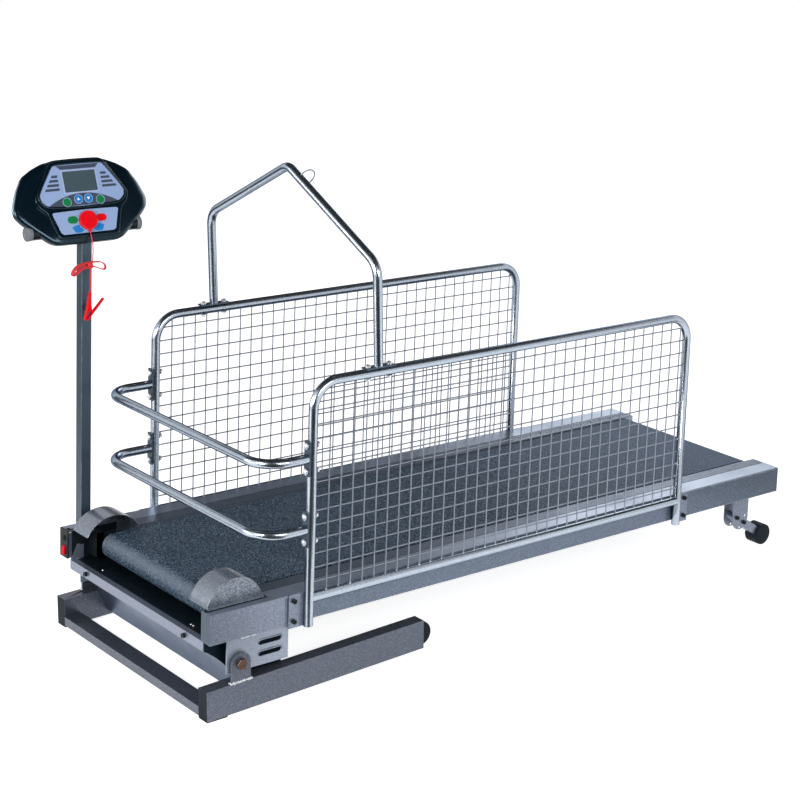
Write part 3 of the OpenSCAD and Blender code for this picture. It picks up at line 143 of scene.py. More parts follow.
def edge_layer(mesh):
    """The layer that marks the faces of rounded edges, which the wear mask reads."""
    return mesh.faces.layers.float.get("edge") or mesh.faces.layers.float.new("edge")


def mark_edges(mesh, faces):
    for face in faces:
        face[edge_layer(mesh)] = 1.0


def mesh_data(name, mesh, finish, crease=180.0, outward=True):
    """Smooth mesh data with sharp creases from a mesh under work, which is used up."""
    if outward:
        bmesh.ops.recalc_face_normals(mesh, faces=mesh.faces)
    for face in mesh.faces:
        face.smooth = True
    data = bpy.data.meshes.new(name)
    mesh.to_mesh(data)
    mesh.free()
    data.set_sharp_from_angle(angle=math.radians(crease))
    data.materials.append(finish)
    return data


def place(name, data, body):
    """A new object at the origin that rides on a body."""
    made = add_object(name, data)
    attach(made, body)
    return made


def slot_of(node):
    """The record's finish for a node."""
    return next(row["material_slot"] for row in frame["record"]["subparts"] if row["node"] == node)


print("the rails take the finish", slot_of("side_rails"))

# %% [markdown]
# A thin round cord hangs from the safety key, is folded into a small hank and ends at a clip. It follows
# one line of points, in millimetres from the head of the post: down off the leaning face, into the hank,
# round its turns and straight down to the clip. A loop works out the turns, so their number and spread
# are easy to change.

# %% The cord's route
CORD_R = 0.0014
HANK_HALF, HANK_LOBE, HANK_STEP, HANK_LOW, HANK_TURNS = 50.0, 21.0, 3.6, 107.0, 4
DROOP_LEFT, DROOP_RIGHT = 0.45, 0.25
CORD_TURN, CORD_AHEAD, CORD_LOW, DROP_AHEAD, WAIST_SHARE = 8.0, 27.0, 186.0, 1.4, 0.25
KEY_V, KEY_R, KEY_TAIL, KEY_BACK, KEY_FRONT = 10.0, 26.0, 6.0, 2.3, 9.0
TURN_STEPS, BEND_STEP = 24, 22.5
WAIST = WAIST_SHARE * HANK_LOBE


def off_face(v, w):
    """A point on the middle of the leaning face, v up along it and w out of it."""
    return (0.0, v * math.sin(LEAN) - w * math.cos(LEAN), v * math.cos(LEAN) + w * math.sin(LEAN))


def hank_point(a):
    """A point of the hank's turns, which droop to both sides of a narrow waist."""
    c, s = math.cos(a), math.sin(a)
    x = HANK_HALF * c
    droop = abs(x) * abs(c) * (DROOP_LEFT if x < 0 else DROOP_RIGHT)
    z = -HANK_LOW + HANK_LOBE * s * (WAIST_SHARE + (1 - WAIST_SHARE) * c * c) - droop
    return (x - CORD_TURN, -CORD_AHEAD + HANK_STEP * (a / math.tau - 0.25), z)


def bend(angle, y, z):
    """A point on a small bend beside the cord's upright runs."""
    a = math.radians(angle)
    return (-CORD_TURN + CORD_TURN * math.cos(a), y, z + CORD_TURN * math.sin(a))


cord_w = (KEY_BACK + KEY_FRONT) / 2
above, below = -HANK_LOW + WAIST + CORD_TURN, -HANK_LOW - WAIST - CORD_TURN
spare = HANK_LOW / 2 - HANK_LOBE - WAIST - 2 * CORD_TURN
end_y = -CORD_AHEAD + HANK_STEP * (HANK_TURNS - 0.5)
route = [off_face(KEY_V - KEY_R - KEY_TAIL - k * HANK_LOBE / 3, cord_w) for k in range(6)]
route.append((0.0, -CORD_AHEAD - DROP_AHEAD, -HANK_LOW / 2 - HANK_LOBE))
route += [(0.0, -CORD_AHEAD, above + spare * (3 - k) / 3) for k in range(4)]
route += [bend(-BEND_STEP * k, -CORD_AHEAD, above) for k in range(1, 4)]
hank_steps = TURN_STEPS * HANK_TURNS - TURN_STEPS // 2
route += [hank_point(math.radians(90) + math.tau * k / TURN_STEPS) for k in range(hank_steps + 1)]
route += [bend(90 - BEND_STEP * k, end_y, below) for k in range(1, 5)]
route += [(0.0, end_y, below - (CORD_LOW + below) * k / 6) for k in range(1, 7)]
cord_path = [POST @ Vector(p) for p in route]
print("cord's route of", len(route), "points")

# %% [markdown]
# Finishes come next. A material in Blender is a tree of nodes, and most of the finishes here share the
# same few effects: dimpled paint, edges rubbed bright, dust on upward faces. Each effect is made once as
# a shader group and then placed in many materials with other values, so one change reaches all of them.

# %% Short ways to add nodes, groups and materials
FLOAT = "NodeSocketFloat"


def feed(tree, socket, value):
    """A value set on a socket, or another socket linked to it."""
    if isinstance(value, bpy.types.NodeSocket):
        tree.links.new(value, socket)
    else:
        socket.default_value = value


def add_node(tree, kind, inputs=None, **settings):
    """A node with its settings, and with each named input set or linked."""
    made = tree.nodes.new(kind)
    for key, value in settings.items():
        setattr(made, key, value)
    for key, value in (inputs or {}).items():
        feed(tree, made.inputs[key], value)
    return made


def reckon(tree, operation, a, b=0.0):
    """One step of arithmetic on values or sockets."""
    return add_node(tree, "ShaderNodeMath", {0: a, 1: b}, operation=operation).outputs[0]


def spread(tree, value, low, high, to_low, to_high):
    """A value moved from one range into another and held there."""
    ranges = {"Value": value, "From Min": low, "From Max": high, "To Min": to_low, "To Max": to_high}
    return add_node(tree, "ShaderNodeMapRange", ranges).outputs[0]


def mix_tones(tree, factor, first, second):
    """Two tones mixed by a mask; a tone is a socket or three numbers."""
    made = add_node(tree, "ShaderNodeMix", {0: factor}, data_type="RGBA")
    for place_no, tone in ((6, first), (7, second)):
        feed(tree, made.inputs[place_no], tone if isinstance(tone, bpy.types.NodeSocket) else (*tone, 1.0))
    return made.outputs[2]


def start_group(name, inputs, outputs):
    """An empty shader group with its named sockets."""
    tree = bpy.data.node_groups.new(name, "ShaderNodeTree")
    for title, value in inputs:
        tree.interface.new_socket(title, in_out="INPUT", socket_type=FLOAT).default_value = value
    for title in outputs:
        tree.interface.new_socket(title, in_out="OUTPUT", socket_type=FLOAT)
    return tree, tree.nodes.new("NodeGroupInput").outputs, tree.nodes.new("NodeGroupOutput").inputs


def place_group(tree, group, **values):
    return add_node(tree, "ShaderNodeGroup", values, node_tree=group).outputs


def new_finish(name):
    """A new material with its tree and its shader."""
    made = bpy.data.materials.new(name)
    made.use_nodes = True
    return made, made.node_tree, made.node_tree.nodes["Principled BSDF"]


print("node helpers ready")

# %% [markdown]
# The frame's paint is a hammered silver: under a lens it is a skin of shallow dimples a few millimetres
# wide, with bright flecks between them. Two cell textures give that better than plain noise, because
# cells have the rounded edges of drops that ran together before the paint set.

# %% Group: hammered paint
def make_hammered():
    tree, given, out = start_group("hammered_paint", [("Cells", 330.0), ("Flecks", 420.0)],
                                   ["Height", "Fleck", "Cloud"])
    where = add_node(tree, "ShaderNodeTexCoord").outputs["Object"]
    dimple = add_node(tree, "ShaderNodeTexVoronoi", {"Vector": where, "Scale": given["Cells"]},
                      feature="SMOOTH_F1")
    fleck = add_node(tree, "ShaderNodeTexVoronoi", {"Vector": where, "Scale": given["Flecks"]})
    parts = add_node(tree, "ShaderNodeSeparateColor", {"Color": fleck.outputs["Color"]})
    cloud = add_node(tree, "ShaderNodeTexNoise", {"Vector": where, "Scale": 7.0, "Detail": 4.0})
    tree.links.new(dimple.outputs["Distance"], out["Height"])
    tree.links.new(spread(tree, parts.outputs["Red"], 0.35, 1.0, 0.0, 1.0), out["Fleck"])
    tree.links.new(cloud.outputs["Fac"], out["Cloud"])
    return tree


HAMMERED = make_hammered()
print("group", HAMMERED.name)

# %% [markdown]
# Painted edges rub bright first, and dust settles on what faces up. The wear mask reads an attribute that
# marks the rounded edges of a piece, which is sharper than a guess from the shape. The dust mask reads
# how far a surface faces upwards, broken up by noise.

# %% Groups: edge wear and dust
def make_wear():
    tree, given, out = start_group("edge_wear", [("Amount", 0.5), ("Patches", 60.0)], ["Mask"])
    where = add_node(tree, "ShaderNodeTexCoord").outputs["Object"]
    rim = add_node(tree, "ShaderNodeAttribute", attribute_name="edge").outputs["Fac"]
    patch = add_node(tree, "ShaderNodeTexNoise", {"Vector": where, "Scale": given["Patches"], "Detail": 5.0})
    rubbed = reckon(tree, "MULTIPLY", rim, spread(tree, patch.outputs["Fac"], 0.42, 0.62, 0.15, 1.0))
    tree.links.new(reckon(tree, "MULTIPLY", rubbed, given["Amount"]), out["Mask"])
    return tree


def facing(tree):
    """How far a surface looks along each axis."""
    normal = add_node(tree, "ShaderNodeNewGeometry").outputs["Normal"]
    return add_node(tree, "ShaderNodeSeparateXYZ", {"Vector": normal}).outputs


def make_dust():
    tree, given, out = start_group("dust", [("Amount", 0.2), ("Patches", 25.0)], ["Mask"])
    where = add_node(tree, "ShaderNodeTexCoord").outputs["Object"]
    patch = add_node(tree, "ShaderNodeTexNoise", {"Vector": where, "Scale": given["Patches"], "Detail": 6.0})
    lying = reckon(tree, "MULTIPLY", spread(tree, facing(tree)["Z"], 0.2, 0.9, 0.0, 1.0),
                   spread(tree, patch.outputs["Fac"], 0.35, 0.7, 0.2, 1.0))
    tree.links.new(reckon(tree, "MULTIPLY", lying, given["Amount"]), out["Mask"])
    return tree


WEAR = make_wear()
DUST = make_dust()
print("groups", WEAR.name, DUST.name)

# %% [markdown]
# One builder makes every hard finish from those three groups: a dark and a light tone mixed by the
# flecks, a worn tone on the edges, a pale film of dust, a roughness that drifts over the surface and a
# bump from the dimples. Plastic, rubber and steel then differ only in their numbers.

# %% A builder for hard finishes
DUST_TONE, BARE_STEEL, WHITE = (0.42, 0.42, 0.42), (0.5, 0.52, 0.56), (1.0, 1.0, 1.0)
DIMPLE_DEPTH = 0.001


def hard_finish(name, dark, light, rough, metal=0.0, cells=330.0, flecks=620.0, bump=0.2, worn=BARE_STEEL,
                wear=0.4, dust=0.02, coat=0.0, drift=0.06, shine=0.5, rim=WHITE):
    """A material of two flecked tones with worn edges, dust and dimples."""
    made, tree, shader = new_finish(name)
    skin = place_group(tree, HAMMERED, Cells=cells, Flecks=flecks)
    tone = mix_tones(tree, skin["Fleck"], dark, light)
    tone = mix_tones(tree, place_group(tree, DUST, Amount=dust)["Mask"], tone, DUST_TONE)
    tone = mix_tones(tree, place_group(tree, WEAR, Amount=wear)["Mask"], tone, worn)
    dimples = add_node(tree, "ShaderNodeBump", {"Height": skin["Height"], "Strength": bump,
                                               "Distance": DIMPLE_DEPTH})
    drifting = spread(tree, skin["Cloud"], 0.3, 0.7, rough - drift, rough + drift)
    tree.links.new(tone, shader.inputs["Base Color"])
    tree.links.new(drifting, shader.inputs["Roughness"])
    tree.links.new(dimples.outputs["Normal"], shader.inputs["Normal"])
    shader.inputs["Metallic"].default_value = metal
    shader.inputs["Coat Weight"].default_value = coat
    shader.inputs["Specular IOR Level"].default_value = shine
    shader.inputs["Specular Tint"].default_value = (*rim, 1.0)
    return made


print("hard finishes take dust of tone", DUST_TONE)

# %% [markdown]
# The steel is painted in several tones of blue-grey: dark on the frame and base, lighter on folded sheet,
# brightest on the bent tubes, which mirror the studio. Bolts are zinc or black, the pivot bolts are
# brass, and the foot strips are bare metal whose grooves get a dark finish as painted shade.

# %% Steel finishes
DUSK = (0.16, 0.20, 0.26)
STEEL = hard_finish("hammered_steel", (0.100, 0.128, 0.178), (0.192, 0.230, 0.295), 0.36, metal=0.7,
                    bump=0.16)
SLEEVE = hard_finish("sleeve_steel", (0.162, 0.190, 0.250), (0.300, 0.335, 0.418), 0.34, metal=0.65,
                     bump=0.18)
PLATE = hard_finish("plate_steel", (0.250, 0.285, 0.355), (0.340, 0.380, 0.458), 0.36, metal=0.55,
                    bump=0.16)
BASE = hard_finish("base_steel", (0.078, 0.091, 0.120), (0.158, 0.176, 0.218), 0.36, metal=0.65,
                   bump=0.16)
# Near black: painted shade on the pan's sides, and the darker finish of the base bars' front ends.
DARK_STEEL = hard_finish("dark_steel", (0.004, 0.010, 0.016), (0.008, 0.015, 0.023), 0.42, metal=0.1,
                         bump=0.1, shine=0.05)
# The lip's pale worn tone on its rounded edges is partly edge wear and partly a painted highlight along its
# top edge.
LIP = hard_finish("lip_steel", (0.20, 0.228, 0.295), (0.255, 0.285, 0.36), 0.32, metal=0.65, bump=0.14,
                  worn=(0.7, 0.73, 0.78), wear=0.9)
POST_STEEL = hard_finish("post_steel", (0.046, 0.074, 0.103), (0.060, 0.092, 0.125), 0.4, metal=0.5, bump=0.1)
TUBE = hard_finish("tube_steel", (0.38, 0.435, 0.51), (0.50, 0.555, 0.63), 0.22, metal=1.0, bump=0.1,
                   rim=DUSK)
WIRE = hard_finish("wire_steel", (0.29, 0.325, 0.39), (0.39, 0.425, 0.49), 0.34, metal=0.8, bump=0.05,
                   rim=DUSK)
GUARD = hard_finish("guard_steel", (0.12, 0.142, 0.180), (0.36, 0.40, 0.465), 0.3, metal=0.65, flecks=430.0)
GUARD_TOP = hard_finish("guard_top", (0.17, 0.198, 0.245), (0.31, 0.345, 0.405), 0.27, metal=0.65,
                        flecks=520.0, bump=0.1)
PAN = hard_finish("pan_steel", (0.062, 0.078, 0.110), (0.074, 0.092, 0.128), 0.34, metal=0.6, bump=0.04,
                  shine=0.3, rim=(0.68, 0.78, 0.95))
ZINC = hard_finish("zinc_bolt", (0.66, 0.69, 0.73), (0.84, 0.86, 0.89), 0.3, metal=0.75, bump=0.05)
BRASS = hard_finish("brass_bolt", (0.085, 0.044, 0.025), (0.16, 0.09, 0.052), 0.36, metal=0.7, bump=0.1)
ROLLER = hard_finish("roller_steel", (0.30, 0.31, 0.33), (0.44, 0.45, 0.47), 0.3, metal=1.0, bump=0.05)
BLACK_SCREW = hard_finish("black_screw", (0.006, 0.009, 0.012), (0.014, 0.018, 0.022), 0.32, metal=0.3,
                          bump=0.05, wear=0.25, shine=0.3)
WELD = hard_finish("weld_metal", (0.45, 0.47, 0.50), (0.80, 0.82, 0.85), 0.3, metal=0.5, bump=0.3)
STRIP = hard_finish("strip_metal", (0.245, 0.297, 0.39), (0.305, 0.36, 0.46), 0.4, metal=0.8, bump=0.03)
# Painted shade for the grooves of the foot strips.
GROOVE_SHADE = hard_finish("strip_groove_shade", (0.035, 0.044, 0.062), (0.05, 0.061, 0.082), 0.4, metal=0.5, bump=0.03)
print(len(bpy.data.materials), "materials so far")

# %% [markdown]
# The rest is plastic, rubber, board and paint. These have no metal in them, a finer skin and softer wear,
# and the handlebar and display keep a slight coat, as gloss parts do.

# %% Plastic, rubber and other finishes
SATIN = dict(cells=1400.0, flecks=900.0, bump=0.06, worn=(0.05, 0.058, 0.066), wear=0.3, dust=0.01,
             shine=0.16)
POLISHED = SATIN | dict(shine=0.5, dust=0.0, wear=0.15, rim=(0.55, 0.82, 1.0))
GLOSS = dict(cells=1500.0, flecks=1200.0, bump=0.03, dust=0.0, shine=0.2)
BLACK = hard_finish("black_plastic", (0.004, 0.007, 0.010), (0.010, 0.014, 0.018), 0.42, **SATIN)
TRAY = hard_finish("cover_plastic", (0.002, 0.006, 0.009), (0.004, 0.009, 0.013), 0.3, **SATIN)
SHELL = hard_finish("console_shell", (0.000, 0.004, 0.009), (0.001, 0.006, 0.012), 0.19, **POLISHED)
RUBBER = hard_finish("black_rubber", (0.003, 0.009, 0.014), (0.009, 0.018, 0.026), 0.6, **SATIN)
CAP_GREY = hard_finish("grey_cap", (0.15, 0.165, 0.185), (0.20, 0.215, 0.24), 0.45, **SATIN)
GRIP = hard_finish("handlebar_black", (0.004, 0.007, 0.010), (0.010, 0.014, 0.018), 0.2, coat=0.15, **SATIN)
BOARD = hard_finish("deck_board", (0.010, 0.011, 0.012), (0.024, 0.024, 0.025), 0.6, cells=500.0, bump=0.1,
                    shine=0.2)
MOTOR = hard_finish("motor_paint", (0.03, 0.032, 0.036), (0.05, 0.053, 0.06), 0.4, metal=0.3, bump=0.1)
STRAP = hard_finish("drive_belt_rubber", (0.012, 0.012, 0.013), (0.02, 0.02, 0.022), 0.7, **SATIN)
CIRCUIT = hard_finish("circuit_board", (0.008, 0.085, 0.03), (0.015, 0.14, 0.05), 0.4, cells=900.0, bump=0.05)
GREEN = hard_finish("green_button", (0.004, 0.17, 0.05), (0.008, 0.24, 0.075), 0.3, worn=(0.12, 0.5, 0.24),
                    wear=0.6, **GLOSS)
BLUE = hard_finish("blue_button", (0.012, 0.18, 0.52), (0.022, 0.24, 0.62), 0.3, worn=(0.25, 0.55, 0.85),
                   wear=0.6, **GLOSS)
RED = hard_finish("red_plastic", (0.72, 0.001, 0.007), (0.84, 0.003, 0.012), 0.34, cells=500.0, flecks=350.0,
                  bump=0.1, worn=(0.9, 0.12, 0.14), wear=0.6, dust=0.0, shine=0.12)
FACE_BLUE = hard_finish("face_film", (0.265, 0.365, 0.595), (0.30, 0.405, 0.645), 0.4, worn=(0.5, 0.55, 0.78),
                        wear=0.3, **GLOSS)
FACE_PALE = hard_finish("face_film_pale", (0.36, 0.43, 0.64), (0.40, 0.47, 0.69), 0.4, worn=(0.6, 0.65, 0.85),
                        wear=0.3, **GLOSS)
FACE_SLATE = hard_finish("face_film_slate", (0.050, 0.066, 0.105), (0.062, 0.08, 0.122), 0.4,
                         worn=(0.2, 0.2, 0.28), wear=0.2, **GLOSS)
PRINT_WHITE = hard_finish("white_print", (0.78, 0.82, 0.86), (0.86, 0.89, 0.92), 0.45, worn=(0.7, 0.72, 0.75),
                          wear=0.2, **GLOSS)
LCD = hard_finish("display_screen", (0.054, 0.085, 0.105), (0.066, 0.099, 0.12), 0.2, coat=0.15,
                  worn=(0.2, 0.2, 0.2), wear=0.1, **GLOSS)
print(len(bpy.data.materials), "materials so far")

# %% [markdown]
# The running belt is a woven carcass with a pebbled rubber face: dark blue-grey with pale grains. Paler
# tones are painted in as sheen where it bends over the front roller and towards the rear, where the real
# belt catches the light at a glancing angle. It has no worn edges but a coarser bump than paint, so it gets
# a material of its own, still with the shared dust.

# %% Belt material
BELT_DARK, BELT_GRAIN, BELT_DEEP = (0.004, 0.014, 0.026), (0.31, 0.42, 0.58), (0.030, 0.048, 0.075)
# BELT_BEND_SHEEN and BELT_REAR_SHEEN are painted sheen: paler tones over the front roller and towards the
# rear.
BELT_DUST, BELT_BEND_SHEEN, BELT_REAR_SHEEN = (0.22, 0.27, 0.35), (0.20, 0.235, 0.285), (0.15, 0.20, 0.31)
REAR_FROM, REAR_TO = 0.1, 1.0


def make_belt_finish():
    made, tree, shader = new_finish("belt_rubber")
    where = add_node(tree, "ShaderNodeTexCoord").outputs["Object"]
    along = add_node(tree, "ShaderNodeSeparateXYZ", {"Vector": where}).outputs["X"]
    looks = facing(tree)
    pebble = add_node(tree, "ShaderNodeTexVoronoi", {"Vector": where, "Scale": 260.0}, feature="SMOOTH_F1")
    chips = add_node(tree, "ShaderNodeTexVoronoi", {"Vector": where, "Scale": 480.0})
    chip = add_node(tree, "ShaderNodeSeparateColor", {"Color": chips.outputs["Color"]}).outputs["Red"]
    grain = add_node(tree, "ShaderNodeTexNoise", {"Vector": where, "Scale": 330.0, "Detail": 3.0,
                                                  "Roughness": 0.8}).outputs["Fac"]
    broad = add_node(tree, "ShaderNodeTexNoise", {"Vector": where, "Scale": 3.0,
                                                  "Detail": 3.0}).outputs["Fac"]
    fleck = reckon(tree, "MULTIPLY", spread(tree, grain, 0.40, 0.62, 0.15, 1.0),
                   spread(tree, chip, 0.45, 0.95, 0.0, 1.0))
    # Painted sheen on the faces that look forward and up, over the front roller.
    bent = reckon(tree, "MULTIPLY", spread(tree, looks["X"], -0.2, -0.7, 0.0, 0.55),
                  spread(tree, looks["Z"], -0.1, 0.5, 0.0, 1.0))
    tone = mix_tones(tree, fleck, BELT_DARK, BELT_GRAIN)
    tone = mix_tones(tree, spread(tree, broad, 0.3, 0.75, 0.0, 0.2), tone, BELT_DEEP)
    tone = mix_tones(tree, place_group(tree, DUST, Amount=0.015)["Mask"], tone, BELT_DUST)
    tone = mix_tones(tree, bent, tone, BELT_BEND_SHEEN)
    # Painted sheen, growing paler towards the rear of the belt.
    tone = mix_tones(tree, spread(tree, along, REAR_FROM, REAR_TO, 0.0, 0.5), tone, BELT_REAR_SHEEN)
    lumps = add_node(tree, "ShaderNodeBump", {"Height": pebble.outputs["Distance"], "Strength": 0.5,
                                             "Distance": 0.0015})
    tree.links.new(tone, shader.inputs["Base Color"])
    tree.links.new(spread(tree, grain, 0.3, 0.7, 0.72, 0.5), shader.inputs["Roughness"])
    tree.links.new(lumps.outputs["Normal"], shader.inputs["Normal"])
    shader.inputs["Specular IOR Level"].default_value = 0.16
    shader.inputs["Specular Tint"].default_value = (0.5, 0.72, 1.0, 1.0)
    return made


BELT = make_belt_finish()
print("belt material", BELT.name)

# %% [markdown]
# The safety cord is braided. Two sets of diagonal strands cross on its surface, so the braid is two waves
# that run round the cord in opposite directions, read from the tube's own texture map and used for both
# tone and bump.

# %% Cord material
STRANDS_AROUND, STRANDS_PER_METRE = 2, 210


def make_cord_finish():
    made, tree, shader = new_finish("red_braid")
    where = add_node(tree, "ShaderNodeUVMap", uv_map="along").outputs["UV"]
    parts = add_node(tree, "ShaderNodeSeparateXYZ", {"Vector": where}).outputs
    across = reckon(tree, "MULTIPLY", parts["X"], math.tau * STRANDS_AROUND)
    along = reckon(tree, "MULTIPLY", parts["Y"], math.tau * STRANDS_PER_METRE)
    one = reckon(tree, "SINE", reckon(tree, "ADD", along, across))
    two = reckon(tree, "SINE", reckon(tree, "SUBTRACT", along, across))
    strands = spread(tree, reckon(tree, "MULTIPLY", one, two), -1.0, 1.0, 0.0, 1.0)
    lumps = add_node(tree, "ShaderNodeBump", {"Height": strands, "Strength": 0.4, "Distance": 0.0003})
    tone = mix_tones(tree, strands, (0.50, 0.008, 0.016), (0.85, 0.045, 0.055))
    tree.links.new(tone, shader.inputs["Base Color"])
    tree.links.new(spread(tree, strands, 0.0, 1.0, 0.7, 0.45), shader.inputs["Roughness"])
    tree.links.new(lumps.outputs["Normal"], shader.inputs["Normal"])
    return made


BRAID = make_cord_finish()
print("cord material", BRAID.name)

# %% [markdown]
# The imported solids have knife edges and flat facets. Real bent sheet and welded tube have small rounded
# edges that catch the light, so each visible solid is copied, its loose triangles are merged, its sharp
# outer edges get a real bevel, and the copy stands for the solid. The faces of the bevel are marked,
# which is what the wear mask reads.

# %% Dress a solid in a finish
MERGE_WITHIN, FLAT_WITHIN, PLAIN_BEVEL = 2e-6, math.radians(0.5), 0.0006


def evaluated(name, data, kind, **settings):
    """The plain mesh that one modifier makes of some mesh data."""
    holder = add_object("holder", data)
    modifier = holder.modifiers.new("maker", kind)
    for key, value in settings.items():
        if key.startswith("Socket"):
            modifier[key] = value
        else:
            setattr(modifier, key, value)
    seen = holder.evaluated_get(bpy.context.evaluated_depsgraph_get())
    made = bpy.data.meshes.new_from_object(seen)
    made.name = name
    bpy.data.objects.remove(holder)
    return made


def weigh_normals(data, finish):
    """Large flat faces keep their own direction, so only the small bevel faces turn the light."""
    made = evaluated(data.name, data, "WEIGHTED_NORMAL", keep_sharp=True)
    made.materials.clear()
    made.materials.append(finish)
    return made


def rounded_copy(name, source, finish, bevel, shortest, steps, sharp, cuts, crease):
    """A merged copy of a solid's mesh with rounded outer edges and smooth shading."""
    mesh = bmesh.new()
    mesh.from_mesh(source)
    bmesh.ops.remove_doubles(mesh, verts=mesh.verts, dist=MERGE_WITHIN)
    bmesh.ops.dissolve_limit(mesh, angle_limit=FLAT_WITHIN, verts=mesh.verts, edges=mesh.edges)
    edge_layer(mesh)
    limit = math.radians(sharp)
    chosen = [e for e in mesh.edges if len(e.link_faces) == 2 and e.is_convex
              and e.calc_face_angle(0.0) > limit and e.calc_length() > shortest]
    if bevel > 0.0 and chosen:
        made = bmesh.ops.bevel(mesh, geom=chosen, offset=bevel, offset_type="OFFSET", segments=steps,
                               profile=0.5, affect="EDGES", clamp_overlap=True)
        mark_edges(mesh, made["faces"])
    for place_y in cuts:
        whole = list(mesh.verts) + list(mesh.edges) + list(mesh.faces)
        bmesh.ops.bisect_plane(mesh, geom=whole, plane_co=(0.0, place_y, 0.0), plane_no=(0.0, 1.0, 0.0))
    return mesh_data(name, mesh, finish, crease, outward=False)


def dress(node, finish, bevel=PLAIN_BEVEL, shortest=0.0, steps=2, sharp=32.0, cuts=(), crease=38.0):
    """The finished copy of one solid, riding where the solid rides and standing for it."""
    source = frame["nodes"][node]
    copy = rounded_copy(node + "_finish", source.data, finish, bevel, shortest, steps, sharp, cuts, crease)
    made = place(node + "_finish", weigh_normals(copy, finish), source["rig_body"])
    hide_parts(node)
    return made


def repaint(piece, finish, chosen):
    """A second finish on the faces that a test of their middle and direction picks."""
    data = piece.data
    data.materials.append(finish)
    picked = [face for face in data.polygons if chosen(face.center, face.normal)]
    for face in picked:
        face.material_index = len(data.materials) - 1
    print(piece.name, len(picked), "faces repainted")


print("a plain bevel is", PLAIN_BEVEL * 1000, "mm")

# %% [markdown]
# The steel pieces differ in how their edges are formed. Square tube has corners rounded by about its
# wall, folded sheet has edges of half a millimetre, and bent round tube has none to round. Long edges
# alone are rounded on the square tubes, because their ends are covered. Plates and the forward ends of
# bars and sleeves take a second, darker finish; the strips' grooves and the pan's sides take one as
# painted shade.

# %% Frame, base and tubes
TUBE_EDGE = dict(bevel=0.003, shortest=0.25, steps=3)
BASE_Y, BAR_IN, BAR_TOP = DECK_AT[1], 0.346, 0.09
PANEL_W, POST_NEAR, POST_FAR = 1340.0, -759.0, -747.0
PLATE_IN, BAR_PLATE, ARCH_FOOT = 12.7, 17.0, 571.9
GROOVE_LOW, GROOVE_HIGH = -1.3, -0.2


def dress_all(rows, **settings):
    """Solids dressed by rows of a finish, a bevel and the names of the nodes that take them."""
    for finish, bevel, nodes in rows:
        for node in nodes.split():
            dress(node, finish, bevel, **settings)


dress("side_rails", STEEL, **TUBE_EDGE)
dress("console_post", POST_STEEL, **TUBE_EDGE)
dress("cross_members", STEEL, bevel=0.0012, shortest=0.1)
dress_all(((PLATE, 0.0006, "side_plates"), (LIP, 0.0007, "front_lip"), (SLEEVE, 0.0007, "foot_brackets"),
           (WIRE, 0.0, "leash_ring"), (SLEEVE, 0.001, "near_foot_arm far_foot_arm")))
base = dress("base_frame", BASE, bevel=0.0016, shortest=0.012, steps=3,
             cuts=(BASE_Y - BAR_IN, BASE_Y + BAR_IN))
repaint(base, DARK_STEEL, lambda at, way: way.x < -0.5 and abs(at.y - BASE_Y) > BAR_IN and at.z < BAR_TOP)
sleeves = dress("front_sleeves", SLEEVE, bevel=0.0008)
repaint(sleeves, POST_STEEL, lambda at, way: way.x < -0.8)
guards = dress("roller_guards", GUARD_TOP, bevel=0.0008)
repaint(guards, GUARD, lambda at, way: abs(way.y) > 0.9)
pan = dress("belly_pan", PAN, bevel=0.0005)
# Painted shade: the pan's sides, picked by their direction, take the near-black finish.
repaint(pan, DARK_STEEL, lambda at, way: abs(way.y) > 0.9)
strips = dress("foot_strips", STRIP, bevel=0.0, crease=4.0)
# Painted shade: the faces of the strips' grooves take a near-black finish.
repaint(strips, GROOVE_SHADE, lambda at, way: GROOVE_LOW < (to_deck @ at).z < GROOVE_HIGH and abs(way.x) < 0.5)
for node, front in (("near_panel_frame", POST_NEAR), ("far_panel_frame", POST_FAR)):
    tubes = dress(node, TUBE)
    middle = front + PANEL_W / 2
    repaint(tubes, SLEEVE, lambda at, way: abs((to_deck @ at).x - middle) > PANEL_W / 2 + PLATE_IN)
for node in ("upper_guard_bar", "lower_guard_bar"):
    bar = dress(node, TUBE)
    repaint(bar, POST_STEEL, lambda at, way: (to_deck @ at).x + BAR_PLATE > (POST_NEAR if at.y < 0
                                                                             else POST_FAR))
arch = dress("leash_arch", TUBE)
repaint(arch, POST_STEEL, lambda at, way: (to_deck @ at).z < ARCH_FOOT)
print("steel pieces dressed")

# %% [markdown]
# The belt, its rollers and the drive are turned or moulded pieces with slight edges, and so are the
# screws. Most of the drive is hidden under the cover, yet it is dressed too, so that the model still
# holds when the cover is off.

# %% Belt, rollers, drive and screws
dress_all(((BELT, 0.0006, "running_belt"), (ROLLER, 0.0008, "front_roller rear_roller"),
           (ZINC, 0.0006, "roller_axles"), (MOTOR, 0.0012, "drive_motor motor_controller"),
           (ROLLER, 0.0006, "motor_pulley"), (STRAP, 0.0004, "drive_belt"), (TRAY, 0.0006, "motor_cover"),
           (BLACK_SCREW, 0.0005, "socket_screws"), (ZINC, 0.0004, "frame_bolts"),
           (BRASS, 0.001, "pivot_bolts")))
print("belt, drive and screws dressed")

# %% [markdown]
# Plastic and rubber are moulded, so their edges are rounder than those of steel. Buttons, wheels and feet
# get three steps of bevel and the safety key, which a hand pulls, gets four.

